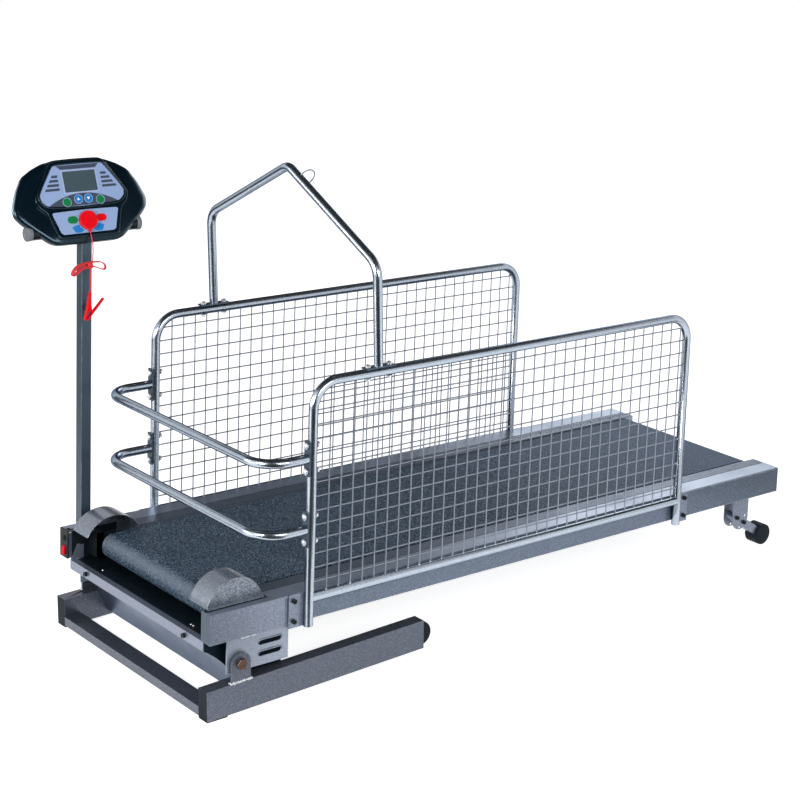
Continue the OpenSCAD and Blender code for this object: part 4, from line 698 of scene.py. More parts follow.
# %% Plastic and rubber pieces
dress_all(((BLACK, 0.0008, "rail_end_caps switch_panel"), (BLACK, 0.0006, "power_inlet"),
           (RED, 0.0009, "power_rocker"), (RUBBER, 0.0004, "base_pads"), (GRIP, 0.0006, "handlebar"),
           (CAP_GREY, 0.0015, "handlebar_caps"), (CIRCUIT, 0.0003, "console_board"),
           (RED, 0.0006, "clip_body clip_jaw")))
dress_all(((RUBBER, 0.003, "near_wheel far_wheel"), (RUBBER, 0.0025, "near_foot_pad far_foot_pad"),
           (GREEN, 0.0011, "left_button right_button start_button"), (BLUE, 0.0011, "up_button down_button"),
           (RED, 0.0011, "stop_button")), steps=3)
dress("safety_key", RED, bevel=0.0022, steps=4)
print("plastic and rubber dressed")

# %% [markdown]
# The rubber feet and the handlebar end in plugs with rounded rims. A lathe would turn such a plug, and
# the script does the same: a short profile of places along the axis and radii is swept once around, and
# its rows are joined.

# %% End plugs of feet and handlebar
PLUG_SIDES = 40
FOOT_PLUG = ((-0.0006, 0.93), (0.0006, 0.9), (0.0014, 0.8), (0.0018, 0.3))
GRIP_PLUG = ((6.0, 19.2), (-1.0, 20.2), (-5.5, 20.2), (-7.2, 19.4), (-8.0, 17.6), (-8.0, 9.0), (-7.4, 8.2))
GRIP_RIM = slice(2 * PLUG_SIDES, 4 * PLUG_SIDES)


def turned_rows(profile, spot):
    """Rows of points once around, from a profile and a rule that sets each point."""
    return [[spot(along, radius * math.cos(a), radius * math.sin(a)) for a in around(PLUG_SIDES)]
            for along, radius in profile]


def foot_plugs(node, body):
    """A moulded rubber end over both open ends of a foot pad."""
    low, high = (Vector(c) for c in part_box(node))
    middle = (low + high) / 2
    size = (high.z - low.z) / 2
    mesh = bmesh.new()
    for end, out in ((low.y, -1), (high.y, 1)):
        join_rows(mesh, turned_rows(FOOT_PLUG, lambda along, u, v: (middle.x + size * u, end + out * along,
                                                                    middle.z + size * v)))
    return place(node + "_caps", mesh_data(node + "_caps", mesh, RUBBER, crease=50.0), body)


def grip_plugs():
    """A turned plug with a rounded rim over each end of the handlebar."""
    low, high = (to_deck @ Vector(c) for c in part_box("handlebar"))
    middle = (low + high) / 2
    mesh = bmesh.new()
    edge_layer(mesh)
    for end, out in ((low.x, 1), (high.x, -1)):
        rows = turned_rows(GRIP_PLUG, lambda along, u, v: DECK @ Vector((end + out * along, middle.y + u,
                                                                         middle.z + v)))
        mark_edges(mesh, join_rows(mesh, rows)[GRIP_RIM])
    data = mesh_data("grip_end_plugs", mesh, CAP_GREY, crease=40.0)
    return place("grip_end_plugs", data, "deck")


foot_plugs("near_foot_pad", "near_foot")
foot_plugs("far_foot_pad", "far_foot")
print("handlebar plugs of", len(grip_plugs().data.polygons), "faces")

# %% [markdown]
# The cord can now be made: a tube of twelve sides along the route, smoothed between the route's points,
# with a texture map along its length, so that the braid can follow it. It rides on the safety key,
# because pulling the key takes the cord and its clip along.

# %% Safety cord
CORD_PARTS, CORD_SIDES, TUBE_CREASE = 3, 12, 75.0


def smoothed(points, parts):
    """Points on a curve through the given ones."""
    made = []
    last = len(points) - 1
    for i in range(last):
        a, b, c, d = (points[max(0, min(last, i + k))] for k in (-1, 0, 1, 2))
        for k in range(parts):
            t = k / parts
            made.append(0.5 * (2 * b + (c - a) * t + (2 * a - 5 * b + 4 * c - d) * t * t
                               + (3 * b - a - 3 * c + d) * t ** 3))
    return made + [points[last].copy()]


def add_tube(mesh, points, radius, sides):
    """A closed round tube with a UV map: U once around, V in metres along the line."""
    uv = mesh.loops.layers.uv.get("along") or mesh.loops.layers.uv.new("along")
    normal = (points[1] - points[0]).normalized().orthogonal()
    rows = []
    for i, point in enumerate(points):
        ahead = (points[min(i + 1, len(points) - 1)] - points[max(i - 1, 0)]).normalized()
        normal = (normal - ahead * normal.dot(ahead)).normalized()
        side = ahead.cross(normal)
        rows.append([point + radius * (normal * math.cos(a) + side * math.sin(a)) for a in around(sides)])
    faces = join_rows(mesh, rows)
    run = 0.0
    for i in range(len(points) - 1):
        step = (points[i + 1] - points[i]).length
        for k in range(sides):
            marks = ((k, run), (k + 1, run), (k + 1, run + step), (k, run + step))
            for loop, mark in zip(faces[i * sides + k].loops, marks):
                loop[uv].uv = (mark[0] / sides, mark[1])
        run += step


def braided(name, lines, radius, sides):
    """One piece of braid along some lines, riding on the safety key."""
    mesh = bmesh.new()
    for line in lines:
        add_tube(mesh, line, radius, sides)
    return place(name, mesh_data(name, mesh, BRAID, crease=TUBE_CREASE), "safety_key")


cord_line = smoothed(cord_path, CORD_PARTS)
safety_cord = braided("safety_cord_braid", [cord_line], CORD_R, CORD_SIDES)
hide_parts("safety_cord")

# %% [markdown]
# A tie of a few tight turns holds the hank at its waist, and two loose folds fill its big turns, which
# lie less evenly on the real one. They could be one more run of the cord, but as pieces of their own they
# leave the cord's line simple.

# %% Tie and folds of the hank
FOLDS = ((0.66, 0.96), (0.3, 0.9))
FOLD_AHEAD, FOLD_DROP, FOLD_STEP, FOLD_STEPS = -24.0, 0.42, 4.0, range(4, 45)
TIE_R, TIE_TURNS, TIE_PITCH, BRAID_SIDES = 0.0016, 5, 3.1, 10
TIE_FROM, TIE_AHEAD, TIE_DROP, TIE_DEEP, TIE_HIGH = -16.0, -22.6, 1.5, 8.0, 8.4


def fold_line(share, along):
    """A loose fold at a share of the height and of the length of the hank's turns."""
    made = []
    for k in FOLD_STEPS:
        x, _, z = hank_point(math.radians(90.0 + FOLD_STEP * k))
        level = -HANK_LOW - abs(x + CORD_TURN) * FOLD_DROP
        spot = (-CORD_TURN + (x + CORD_TURN) * along, FOLD_AHEAD, level + (z - level) * share)
        made.append(POST @ Vector(spot))
    return made


def tie_point(k):
    """A point of the tie, which winds along the hank."""
    a = math.tau * k / TURN_STEPS
    return POST @ Vector((TIE_FROM + TIE_PITCH * k / TURN_STEPS, TIE_AHEAD + TIE_DEEP * math.cos(a),
                          -HANK_LOW - TIE_DROP + TIE_HIGH * math.sin(a)))


hank_folds = braided("hank_folds", [fold_line(*row) for row in FOLDS], CORD_R, BRAID_SIDES)
tie_line = [tie_point(k) for k in range(TURN_STEPS * TIE_TURNS + 1)]
hank_tie = braided("hank_tie", [tie_line], TIE_R, BRAID_SIDES)
print("tie of", len(tie_line), "points")

# %% [markdown]
# The panels are filled with welded wire mesh. Modelling nearly a hundred wires by hand would be slow to
# change, so the script only draws their middle lines, and a Geometry Nodes tree turns every line into a
# round wire. Its radius and number of sides are named inputs of the tree.

# %% Geometry Nodes: lines into round wires
WHOLE, FINISH, SHAPE = "NodeSocketInt", "NodeSocketMaterial", "NodeSocketGeometry"


def start_tree(name, inputs):
    """An empty geometry tree with its named inputs and the usual ends."""
    tree = bpy.data.node_groups.new(name, "GeometryNodeTree")
    tree.interface.new_socket("Geometry", in_out="INPUT", socket_type=SHAPE)
    for title, kind, value in inputs:
        tree.interface.new_socket(title, in_out="INPUT", socket_type=kind).default_value = value
    tree.interface.new_socket("Finish", in_out="INPUT", socket_type=FINISH)
    tree.interface.new_socket("Geometry", in_out="OUTPUT", socket_type=SHAPE)
    return tree, tree.nodes.new("NodeGroupInput").outputs, tree.nodes.new("NodeGroupOutput").inputs


def end_tree(tree, made, finish, out):
    """Realize Instances and Set Material, which every tree here ends in."""
    real = add_node(tree, "GeometryNodeRealizeInstances", {"Geometry": made})
    painted = add_node(tree, "GeometryNodeSetMaterial", {"Geometry": real.outputs[0], "Material": finish})
    tree.links.new(painted.outputs[0], out["Geometry"])
    return tree


def grown(name, data, tree, crease=None, **values):
    """The plain mesh that a geometry tree makes of points or lines, smooth up to a crease if one is given."""
    sockets = {item.identifier: values[item.name] for item in tree.interface.items_tree
               if item.in_out == "INPUT" and item.name in values}
    made = evaluated(name, data, "NODES", node_group=tree, **sockets)
    if crease is not None:
        made.shade_smooth()
        made.set_sharp_from_angle(angle=math.radians(crease))
    return made


def make_wire_tree():
    tree, given, out = start_tree("round_wires", [("Radius", FLOAT, 0.0016), ("Sides", WHOLE, 10)])
    line = add_node(tree, "GeometryNodeMeshToCurve", {"Mesh": given["Geometry"]})
    ring = add_node(tree, "GeometryNodeCurvePrimitiveCircle", {"Resolution": given["Sides"],
                                                               "Radius": given["Radius"]})
    wire = add_node(tree, "GeometryNodeCurveToMesh", {"Curve": line.outputs[0],
                                                      "Profile Curve": ring.outputs[0], "Fill Caps": True})
    return end_tree(tree, wire.outputs[0], given["Finish"], out)


WIRE_TREE = make_wire_tree()
print("tree", WIRE_TREE.name)

# %% [markdown]
# In the photograph the uprights lie outside and the level wires inside, and they just bite into each
# other where they are welded. Their ends meet the inner side of the bent tube, so wires near a rounded
# corner are shorter.

# %% Wire mesh of the two panels
PANEL_TOP, PANEL_BEND, TUBE_R, PANEL_Y = 555.0, 70.0, 12.5, 393.5
WIRE_PITCH, WIRE_R, WIRE_BITE, WIRE_SIDES, WIRE_FOOT = 38.1, 1.9, 0.15, 10, -2.5
UPRIGHTS, FIRST_UPRIGHT, LEVELS, FIRST_LEVEL = 34, 53.0, 14, 34.0
OUTER_Y, INNER_Y = PANEL_Y + WIRE_R - WIRE_BITE, PANEL_Y - WIRE_R + WIRE_BITE


def inner_edge(d):
    """How far the tube's inner side stands in from its axis, near a rounded corner."""
    if d >= PANEL_BEND:
        return TUBE_R
    return PANEL_BEND - math.sqrt((PANEL_BEND - TUBE_R) ** 2 - (PANEL_BEND - d) ** 2)


def wire_ends(front, side):
    """Both ends of each of a panel's wires, one after the other, in the deck's millimetres."""
    ends = []
    for i in range(UPRIGHTS):
        x = FIRST_UPRIGHT + i * WIRE_PITCH
        top = PANEL_TOP - inner_edge(min(x, PANEL_W - x))
        ends += [(front + x, side * OUTER_Y, WIRE_FOOT), (front + x, side * OUTER_Y, top)]
    for j in range(LEVELS):
        down = FIRST_LEVEL + j * WIRE_PITCH
        for x in (inner_edge(down), PANEL_W - inner_edge(down)):
            ends.append((front + x, side * INNER_Y, PANEL_TOP - down))
    return ends


def point_cloud(name, points, carrier=DECK, lines=()):
    """Bare points, and lines between them, for a geometry tree to grow on."""
    data = bpy.data.meshes.new(name)
    data.from_pydata([carrier @ Vector(p) for p in points], lines, [])
    return data


weld_spots = []
for node, front, side in (("near_panel_mesh", POST_NEAR, -1), ("far_panel_mesh", POST_FAR, 1)):
    ends = wire_ends(front, side)
    weld_spots += ends
    lines = point_cloud(node + "_lines", ends, lines=[(k, k + 1) for k in range(0, len(ends), 2)])
    wires = grown(node + "_wires", lines, WIRE_TREE, crease=50.0, Radius=WIRE_R / 1000,
                  Sides=WIRE_SIDES, Finish=WIRE)
    made = place(node + "_wires", wires, "deck")
    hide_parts(node)
    print(node, len(wires.polygons), "faces")

# %% [markdown]
# Every wire end sits in a small bright spot of weld. A second tree puts a low ball on each end, with a
# size that varies by a fixed seed, and the same tree makes the rows of weld under the pivot ears and
# along the near sleeve.

# %% Geometry Nodes: weld spots
SLEEVE_SEAM = ((-952.0, -382.0, -80.6), (-914.0, -382.0, -80.6))
BASE_AT, BASE_SLOPE = (-0.90171, BASE_Y, 0.13279), math.radians(-1.58)
EAR_HALF, EAR_END, EAR_Y, EAR_LOW = 27.0, 30.5, (378.0, 384.0, 384.5), -47.4


def make_weld_tree():
    tree, given, out = start_tree("weld_spots", [("Size", FLOAT, 0.002), ("Variation", FLOAT, 0.35),
                                                 ("Seed", WHOLE, 7)])
    ball = add_node(tree, "GeometryNodeMeshIcoSphere", {"Radius": 1.0, "Subdivisions": 2})
    least = reckon(tree, "SUBTRACT", 1.0, given["Variation"])
    most = reckon(tree, "ADD", 1.0, given["Variation"])
    vary = add_node(tree, "FunctionNodeRandomValue", {"Seed": given["Seed"], 2: least, 3: most},
                    data_type="FLOAT")
    size = reckon(tree, "MULTIPLY", vary.outputs[1], given["Size"])
    dots = add_node(tree, "GeometryNodeInstanceOnPoints", {"Points": given["Geometry"],
                                                           "Instance": ball.outputs[0], "Scale": size})
    return end_tree(tree, dots.outputs[0], given["Finish"], out)


def seam(start, end, step):
    """Points along a straight weld, in millimetres."""
    a, b = Vector(start), Vector(end)
    count = max(2, round((b - a).length / step))
    return [a.lerp(b, k / count) for k in range(count + 1)]


def welds(name, points, body, slot, carrier=DECK, finish=WELD, **values):
    """One piece of weld spots on some points."""
    spots = point_cloud(name + "_places", points, carrier)
    data = grown(name, spots, WELD_TREE, crease=180.0, Finish=finish, **values)
    return place(name, data, body)


WELD_TREE = make_weld_tree()
BASE_MM = Matrix.Translation(BASE_AT) @ Matrix.Rotation(BASE_SLOPE, 4, "Y") @ MILLIMETRE
ear_seam = []
for side in (-1, 1):
    inside, outside, along = (side * y for y in EAR_Y)
    ear_seam += seam((-EAR_HALF, along, EAR_LOW), (EAR_HALF, along, EAR_LOW), 6.0)
    for end in (-EAR_END, EAR_END):
        ear_seam += seam((end, inside, EAR_LOW), (end, outside, EAR_LOW), 3.0)
welds("wire_welds", weld_spots, "deck", "wire", Size=0.0024, Seed=7)
welds("sleeve_welds", seam(*SLEEVE_SEAM, 4.6), "deck", "rail_sleeve", Size=0.0018, Variation=0.6, Seed=3)
welds("ear_welds", ear_seam, frame["nodes"]["base_frame"]["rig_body"], slot_of("base_frame"), BASE_MM,
      Size=0.0034, Variation=0.5, Seed=5)
print(len(weld_spots), "welded wire ends")

# %% [markdown]
# The guard bars and the arch are bolted through the tubes, with a washer and a nut on the far end of each
# bolt. One tree makes a washer and a hexagon nut and puts the pair on every point, turned along the
# bolt's own direction, which each point carries as an attribute.

# %% Geometry Nodes: washers and nuts
BAR_LEVELS, ARCH_X, BOLT_SPREAD, NUT_REACH, HEAD_REACH = (172.0, 360.0), -558.0, 34.0, 13.0, -20.2


def set_on_axis(tree, given, parts, out):
    """Parts joined and set on every point, turned along the direction that the point carries."""
    stack = tree.nodes.new("GeometryNodeJoinGeometry")
    for part in parts:
        tree.links.new(part.outputs[0], stack.inputs[0])
    axis = add_node(tree, "GeometryNodeInputNamedAttribute", {"Name": "axis"}, data_type="FLOAT_VECTOR")
    turn = add_node(tree, "FunctionNodeAlignRotationToVector", {"Vector": axis.outputs[0]}, axis="Z")
    set_on = add_node(tree, "GeometryNodeInstanceOnPoints", {"Points": given["Geometry"],
                                                             "Instance": stack.outputs[0],
                                                             "Rotation": turn.outputs[0]})
    return end_tree(tree, set_on.outputs[0], given["Finish"], out)


def cylinder(tree, sides, radius, depth, lift=0.0):
    """A cylinder along the axis, lifted along it."""
    made = add_node(tree, "GeometryNodeMeshCylinder", {"Vertices": sides, "Radius": radius, "Depth": depth})
    return add_node(tree, "GeometryNodeTransform", {"Geometry": made.outputs[0],
                                                    "Translation": (0.0, 0.0, lift)})


def make_nut_tree():
    tree, given, out = start_tree("washers_and_nuts", [("Nut radius", FLOAT, 0.0074),
                                                       ("Nut height", FLOAT, 0.005),
                                                       ("Washer radius", FLOAT, 0.0085)])
    washer = cylinder(tree, 24, given["Washer radius"], 0.0014)
    nut = cylinder(tree, 6, given["Nut radius"], given["Nut height"], 0.0032)
    tail = cylinder(tree, 16, 0.0038, 0.003, 0.0068)
    return set_on_axis(tree, given, (washer, nut, tail), out)


def aimed_points(name, spots):
    """Points in the deck's millimetres, each with the direction that its nut looks in."""
    data = point_cloud(name, [p for p, way in spots])
    turned = DECK.to_3x3().normalized()
    axes = data.attributes.new("axis", "FLOAT_VECTOR", "POINT")
    for k, (_, way) in enumerate(spots):
        axes.data[k].vector = turned @ Vector(way)
    return data


def bolt_ends(reach):
    """Where the bolts of bars and arch end, behind the tubes' axes or before them, and the way they look."""
    way = math.copysign(1.0, reach)
    spots = []
    for front, side in ((POST_NEAR, -1), (POST_FAR, 1)):
        y = side * PANEL_Y
        for s in (-BOLT_SPREAD, BOLT_SPREAD):
            spots += [((front + reach, y, level + s), (way, 0, 0)) for level in BAR_LEVELS]
            spots.append(((ARCH_X + s, y, PANEL_TOP - reach), (0, 0, -way)))
    return spots


NUT_TREE = make_nut_tree()
nut_spots = bolt_ends(NUT_REACH)
nuts = grown("frame_nuts", aimed_points("nut_places", nut_spots), NUT_TREE, crease=35.0, Finish=ZINC)
place("frame_nuts", nuts, "deck")
print(len(nut_spots), "nuts with washers")

# %% [markdown]
# The other end of each bolt has a domed head, as carriage bolts have. A flattened ball on a thin collar
# gives it, and the tree ends as the one for nuts does, so only the two shapes are new.

# %% Geometry Nodes: domed heads
def make_dome_tree():
    tree, given, out = start_tree("domed_heads", [("Radius", FLOAT, 0.0078), ("Flatness", FLOAT, 0.62)])
    ball = add_node(tree, "GeometryNodeMeshIcoSphere", {"Radius": given["Radius"], "Subdivisions": 3})
    squash = add_node(tree, "ShaderNodeCombineXYZ", {"X": 1.0, "Y": 1.0, "Z": given["Flatness"]})
    dome = add_node(tree, "GeometryNodeTransform", {"Geometry": ball.outputs[0], "Scale": squash.outputs[0]})
    return set_on_axis(tree, given, (dome, cylinder(tree, 32, 0.0086, 0.0024)), out)


DOME_TREE = make_dome_tree()
head_spots = bolt_ends(HEAD_REACH)
domes = grown("bolt_domes", aimed_points("dome_places", head_spots), DOME_TREE, crease=35.0, Finish=ZINC)
place("bolt_domes", domes, "deck")
print(len(head_spots), "domed heads")

# %% [markdown]
# Around the front roller sit a few small plates: flanges with a dark gasket under the guards, and a black
# mounting plate and bracket inside the far rail. The board under the belt shows beside it as a dark
# strip, so its dressed copy is a little wider. All of these are boxes whose edges are beveled.

# %% Small plates at the front and the board
BOARD_HALF = 275.0
GASKET = ((-1043.0, 344.2, 0.1), (-862.0, 360.0, 1.6))
FLANGE = ((-1036.0, 344.4, 1.6), (-870.0, 357.0, 4.0))
MOUNT = (((-1036.0, 339.6, -79.0), (-898.0, 340.9, -1.5)), ((-984.0, 296.0, -76.0), (-962.0, 339.8, -6.0)),
         ((-984.0, 296.0, -76.0), (-925.0, 299.0, -6.0)))
MOUNT_BOLT = ((-1008.0, 337.6, -36.0), (0, -1, 0))


def soft_box(mesh, low, high, bevel):
    """A box between two corners in the deck's millimetres, with rounded and marked edges."""
    edge_layer(mesh)
    a, b = Vector(low), Vector(high)
    sized = Matrix.Translation((a + b) / 2) @ Matrix.Diagonal((*(b - a), 1.0))
    made = bmesh.ops.create_cube(mesh, size=1.0, matrix=sized)
    edges = list({e for v in made["verts"] for e in v.link_edges})
    rounded = bmesh.ops.bevel(mesh, geom=edges, offset=bevel, offset_type="OFFSET", segments=2, profile=0.5,
                              affect="EDGES", clamp_overlap=True)
    mark_edges(mesh, rounded["faces"])
    fresh = {v for f in rounded["faces"] for v in f.verts} | {v for v in made["verts"] if v.is_valid}
    bmesh.ops.transform(mesh, matrix=DECK, verts=list(fresh))


def boxes(name, rows, bevel, finish):
    """One piece of several rounded boxes on the deck."""
    mesh = bmesh.new()
    for low, high in rows:
        soft_box(mesh, low, high, bevel)
    data = weigh_normals(mesh_data(name, mesh, finish, crease=38.0, outward=False), finish)
    return place(name, data, "deck")


def both_sides(low, high):
    """A box and its mirror image across the deck's middle."""
    return [((low[0], -high[1], low[2]), (high[0], -low[1], high[2])), (low, high)]


board_spots = [to_deck @ v.co for v in frame["nodes"]["deck_board"].data.vertices]
board_x = [p.x for p in board_spots]
board_z = [p.z for p in board_spots]
board_row = ((min(board_x), -BOARD_HALF, min(board_z)), (max(board_x), BOARD_HALF, max(board_z)))
board = boxes("deck_board_finish", [board_row], 1.0, BOARD)
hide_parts("deck_board")
boxes("guard_gaskets", both_sides(*GASKET), 0.4, RUBBER)
boxes("guard_flanges", both_sides(*FLANGE), 0.6, GUARD)
boxes("roller_mount", MOUNT, 0.8, BLACK)
mount_bolts = grown("mount_bolts", aimed_points("mount_places", [MOUNT_BOLT]), NUT_TREE, Finish=BLACK_SCREW)
place("mount_bolts", mount_bolts, "deck")
print("board, gaskets, flanges and roller mount set")

# %% [markdown]
# Each louvre of the side plates has a pressed hood over its slot. A hood is one small section carried
# along the upper half of the slot, which a sweep along a curve could make too. The heads of the cover's
# screws are low balls from the tree for welds, with hardly any variation.

# %% Louvre hoods and cover screws
HOOD_HALF, HOOD_R, HOOD_STEPS, HOOD_Y, HOOD_EDGE = 28.0, 7.0, 10, 374.0, 3
HOOD_X, HOOD_TOP, HOOD_FIELD = -862.0, -80.0, 91.0
HOOD_SECTION = ((3.4, 0.0), (2.2, 1.3), (0.8, 2.2), (-0.5, 2.5), (-0.7, 1.7), (0.2, 0.8), (0.4, -0.5))
COVER_HEADS = ((-1004.0, -226.0, -86.2), (-1004.0, -238.0, -86.2), (-1012.0, -300.0, -86.2),
               (-1004.0, 226.0, -86.2))


def hood(mesh, middle_x, middle_z, side):
    """A pressed hood over the upper half of one slot of the side plate."""
    edge_layer(mesh)
    quarter = [math.radians(180.0 - 90.0 * k / HOOD_STEPS) for k in range(HOOD_STEPS + 1)]
    top = [(-HOOD_HALF, math.cos(a), math.sin(a)) for a in quarter]
    top += [(-u, -c, s) for u, c, s in reversed(top)]
    rows = [[DECK @ Vector((middle_x + u + c * (HOOD_R + out), side * (HOOD_Y + proud),
                            middle_z + s * (HOOD_R + out))) for out, proud in HOOD_SECTION]
            for u, c, s in top]
    mark_edges(mesh, join_rows(mesh, rows)[HOOD_EDGE::len(HOOD_SECTION)])


hood_mesh = bmesh.new()
for side in (-1, 1):
    for share in (1, 2):
        hood(hood_mesh, HOOD_X, HOOD_TOP - HOOD_FIELD * share / 3, side)
hood_data = mesh_data("louvre_hoods", hood_mesh, SLEEVE, crease=50.0)
place("louvre_hoods", hood_data, "deck")
welds("cover_screws", COVER_HEADS, "deck", slot_of("frame_bolts"), finish=ZINC, Size=0.0032,
      Variation=0.1, Seed=2)
print("four hoods and", len(COVER_HEADS), "cover screws")

# %% [markdown]
# The console is a moulded shell with soft edges. Its outline was drawn as a few corner points; cutting
# each corner several times turns them into a flowing line. Rings of that line, drawn in towards the back
# and lifted towards the front, are then joined into one closed skin.

# %% Outlines and lofts for the console
CUT_TIMES, TINY = 3, 1e-6
CON = [(0, 0.93), (0.3, 0.92), (0.47, 0.89), (0.64, 0.82), (0.8, 0.72), (0.92, 0.52), (1, 0.31), (0.99, 0.2),
       (0.91, 0.1), (0.7, -0.08), (0.55, -0.2), (0.44, -0.24), (0, -0.24)]
BEZEL = [(0, 0.9), (0.33, 0.895), (0.4, 0.87), (0.45, 0.82), (0.62, 0.53), (0.69, 0.42), (0.69, 0.36),
         (0.65, 0.27), (0.56, 0.2), (0.46, -0.14), (0.42, -0.17), (0, -0.17)]
UPPER = [(0, 0.84), (0.34, 0.84), (0.38, 0.82), (0.58, 0.53), (0.63, 0.44), (0.62, 0.36), (0.55, 0.29),
         (0.48, 0.27), (0, 0.255)]
LOWER = [(0, 0.205), (0.5, 0.195), (0.41, -0.09), (0.37, -0.115), (0, -0.115)]


def full_outline(half, size, cut_at=0.14):
    """A half outline mirrored and sized, then smoothed by cutting its corners a few times."""
    line = [Vector((u, v)) * size for u, v in half]
    line += [Vector((-p.x, p.y)) for p in reversed(line[1:-1])]
    for _ in range(CUT_TIMES):
        cut = []
        for a, b in zip(line, line[1:] + line[:1]):
            cut += [a.lerp(b, cut_at), a.lerp(b, 1.0 - cut_at)]
        line = cut
    return line


def ring_of(line, middle, count):
    """Where rays from a middle point meet an outline, so that different outlines get matching points."""
    found = []
    for turn in around(count):
        way = Vector((math.sin(turn), math.cos(turn)))
        best = 0.0
        for a, b in zip(line, line[1:] + line[:1]):
            d = b - a
            off = a - middle
            below = way.x * d.y - way.y * d.x
            if abs(below) < TINY / 1000:
                continue
            reach = (off.x * d.y - off.y * d.x) / below
            part = (off.x * way.y - off.y * way.x) / below
            if -TINY <= part <= 1.0 + TINY and reach > best:
                best = reach
        found.append(middle + way * best)
    return found


def loft(name, rings, finish, edge_rows=()):
    """A closed skin through rings of equal length, given in the face's millimetres."""
    mesh = bmesh.new()
    edge_layer(mesh)
    faces = join_rows(mesh, [[FACE @ Vector(p) for p in ring] for ring in rings])
    count = len(rings[0])
    for row in edge_rows:
        mark_edges(mesh, faces[row * count:(row + 1) * count])
    return weigh_normals(mesh_data(name, mesh, finish, crease=60.0), finish)


def lifted(ring, w):
    return [(p.x, p.y, w) for p in ring]


def drawn_in(ring, middle, by):
    """A ring moved towards its middle by a length."""
    return [p + (middle - p).normalized() * by for p in ring]


print("outline points", len(full_outline(CON, 200.0)))

# %% [markdown]
# The shell's rim is a profile of shares of the outline and heights: from the back plate out to the widest
# place and in again to the bezel. Near its top the outline comes close to the bezel, so the front half is
# kept outside it.

# %% Console shell and bezel
CONSOLE_SIZE, MIDDLE, RING, BEZEL_GAP, FRONT_FROM = 202.0, Vector((0.0, 55.0)), 180, 3.5, -18.0
RIM = ((0.70, -58.8), (0.765, -58.4), (0.80, -56.6), (0.83, -53.0), (0.885, -46.0), (0.935, -39.0),
       (0.97, -33.0), (0.99, -27.8), (0.998, -23.6), (0.9985, -20.6), (0.991, -16.6), (0.976, -13.6),
       (0.950, -11.2), (0.915, -9.7), (0.868, -8.8))
RIM_EDGE, SHELL_INNER = (8, 9, 10), ((-3.5, -8.4), (1.0, -7.6), (6.0, -7.6))
FRONT_RIM = ((0.0, -8.6), (0.3, -3.2), (1.1, -1.4), (2.4, -0.4), (4.2, -0.1), (5.5, -0.1))
FRONT_EDGE = (1, 2, 3)
con_ring = ring_of(full_outline(CON, CONSOLE_SIZE), MIDDLE, RING)
bezel_ring = ring_of(full_outline(BEZEL, CONSOLE_SIZE), MIDDLE, RING)


def con_scaled(share, w):
    """The outline at a share of its size, kept outside the bezel on the front half."""
    ring = []
    for p, edge in zip(con_ring, bezel_ring):
        out = p * share - MIDDLE
        least = (edge - MIDDLE).length + BEZEL_GAP if w > FRONT_FROM else 0.0
        ring.append(MIDDLE + out.normalized() * max(out.length, least))
    return lifted(ring, w)


def bezel_rows(profile):
    """The bezel's outline drawn in and lifted, row by row."""
    return [lifted(drawn_in(bezel_ring, MIDDLE, by), w) for by, w in profile]


def moulding(node, rings, edge_rows):
    """A moulded skin that stands for one of the console's solids."""
    made = place(node + "_moulding", loft(node + "_moulding", rings, SHELL, edge_rows), "deck")
    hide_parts(node)
    return made


shell = moulding("console_shell", [con_scaled(*row) for row in RIM] + bezel_rows(SHELL_INNER), RIM_EDGE)
moulding("console_front", bezel_rows(FRONT_RIM), FRONT_EDGE)
print("console shell", len(shell.data.polygons), "faces")

# %% [markdown]
# A printed film covers the face: an upper field with the display and four round keys, a lower field with
# two oval keys. The film is plain here. A round bead of the shell runs about the upper field. Thin plates
# keep a crisp edge at any size of picture, which a painted image would not.

# %% Face film and its bead
FILM_SIZE, FILM_CUT, BEAD_MIDDLE, BEAD_POINTS, BEAD_SIDES = 200.0, 0.06, Vector((0.0, 100.0)), 140, 10
BEAD_OUT, BEAD_R, BEAD_W, BEAD_FLAT = 3.4, 3.6, 0.2, 0.75
FILM = (-1.2, 0.35, 0.2)


def plate(name, line, low, high, round_by, finish):
    """A thin plate with softened rim from a closed line, in the face's millimetres."""
    middle = sum(line, Vector((0.0, 0.0))) / len(line)
    inner = drawn_in(line, middle, round_by)
    return loft(name, [lifted(line, low), lifted(line, high - round_by), lifted(inner, high)], finish, (1,))


def closed_tube(name, line, w, radius, finish):
    """A round bead along a closed line on the face."""
    rows = []
    for k, p in enumerate(line):
        ahead = (line[(k + 1) % len(line)] - line[k - 1]).normalized()
        out = Vector((ahead.y, -ahead.x)) * radius
        rows.append([FACE @ Vector((p.x + out.x * math.cos(a), p.y + out.y * math.cos(a),
                                    w + radius * BEAD_FLAT * math.sin(a))) for a in around(BEAD_SIDES)])
    mesh = bmesh.new()
    join_rows(mesh, rows, ring=True)
    return mesh_data(name, mesh, finish)


upper_line = full_outline(UPPER, FILM_SIZE)
lower_line = full_outline(LOWER, FILM_SIZE, FILM_CUT)
film = place("face_film_upper", plate("face_film_upper", upper_line, *FILM, FACE_BLUE), "deck")
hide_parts("console_face")
place("face_film_lower", plate("face_film_lower", lower_line, *FILM, FACE_BLUE), "deck")
bead_path = drawn_in(ring_of(upper_line, BEAD_MIDDLE, BEAD_POINTS), BEAD_MIDDLE, -BEAD_OUT)
place("face_bead", closed_tube("face_bead", bead_path, BEAD_W, BEAD_R, SHELL), "deck")
print("film plates", len(upper_line), len(lower_line), "points round")

# %% [markdown]
# On the film lie a dark band along its top, a dark arc under the round keys, rows of level bars on both
# sides of the display and two blue fans beside the safety key. They are plates as well, a little proud of
# the film.

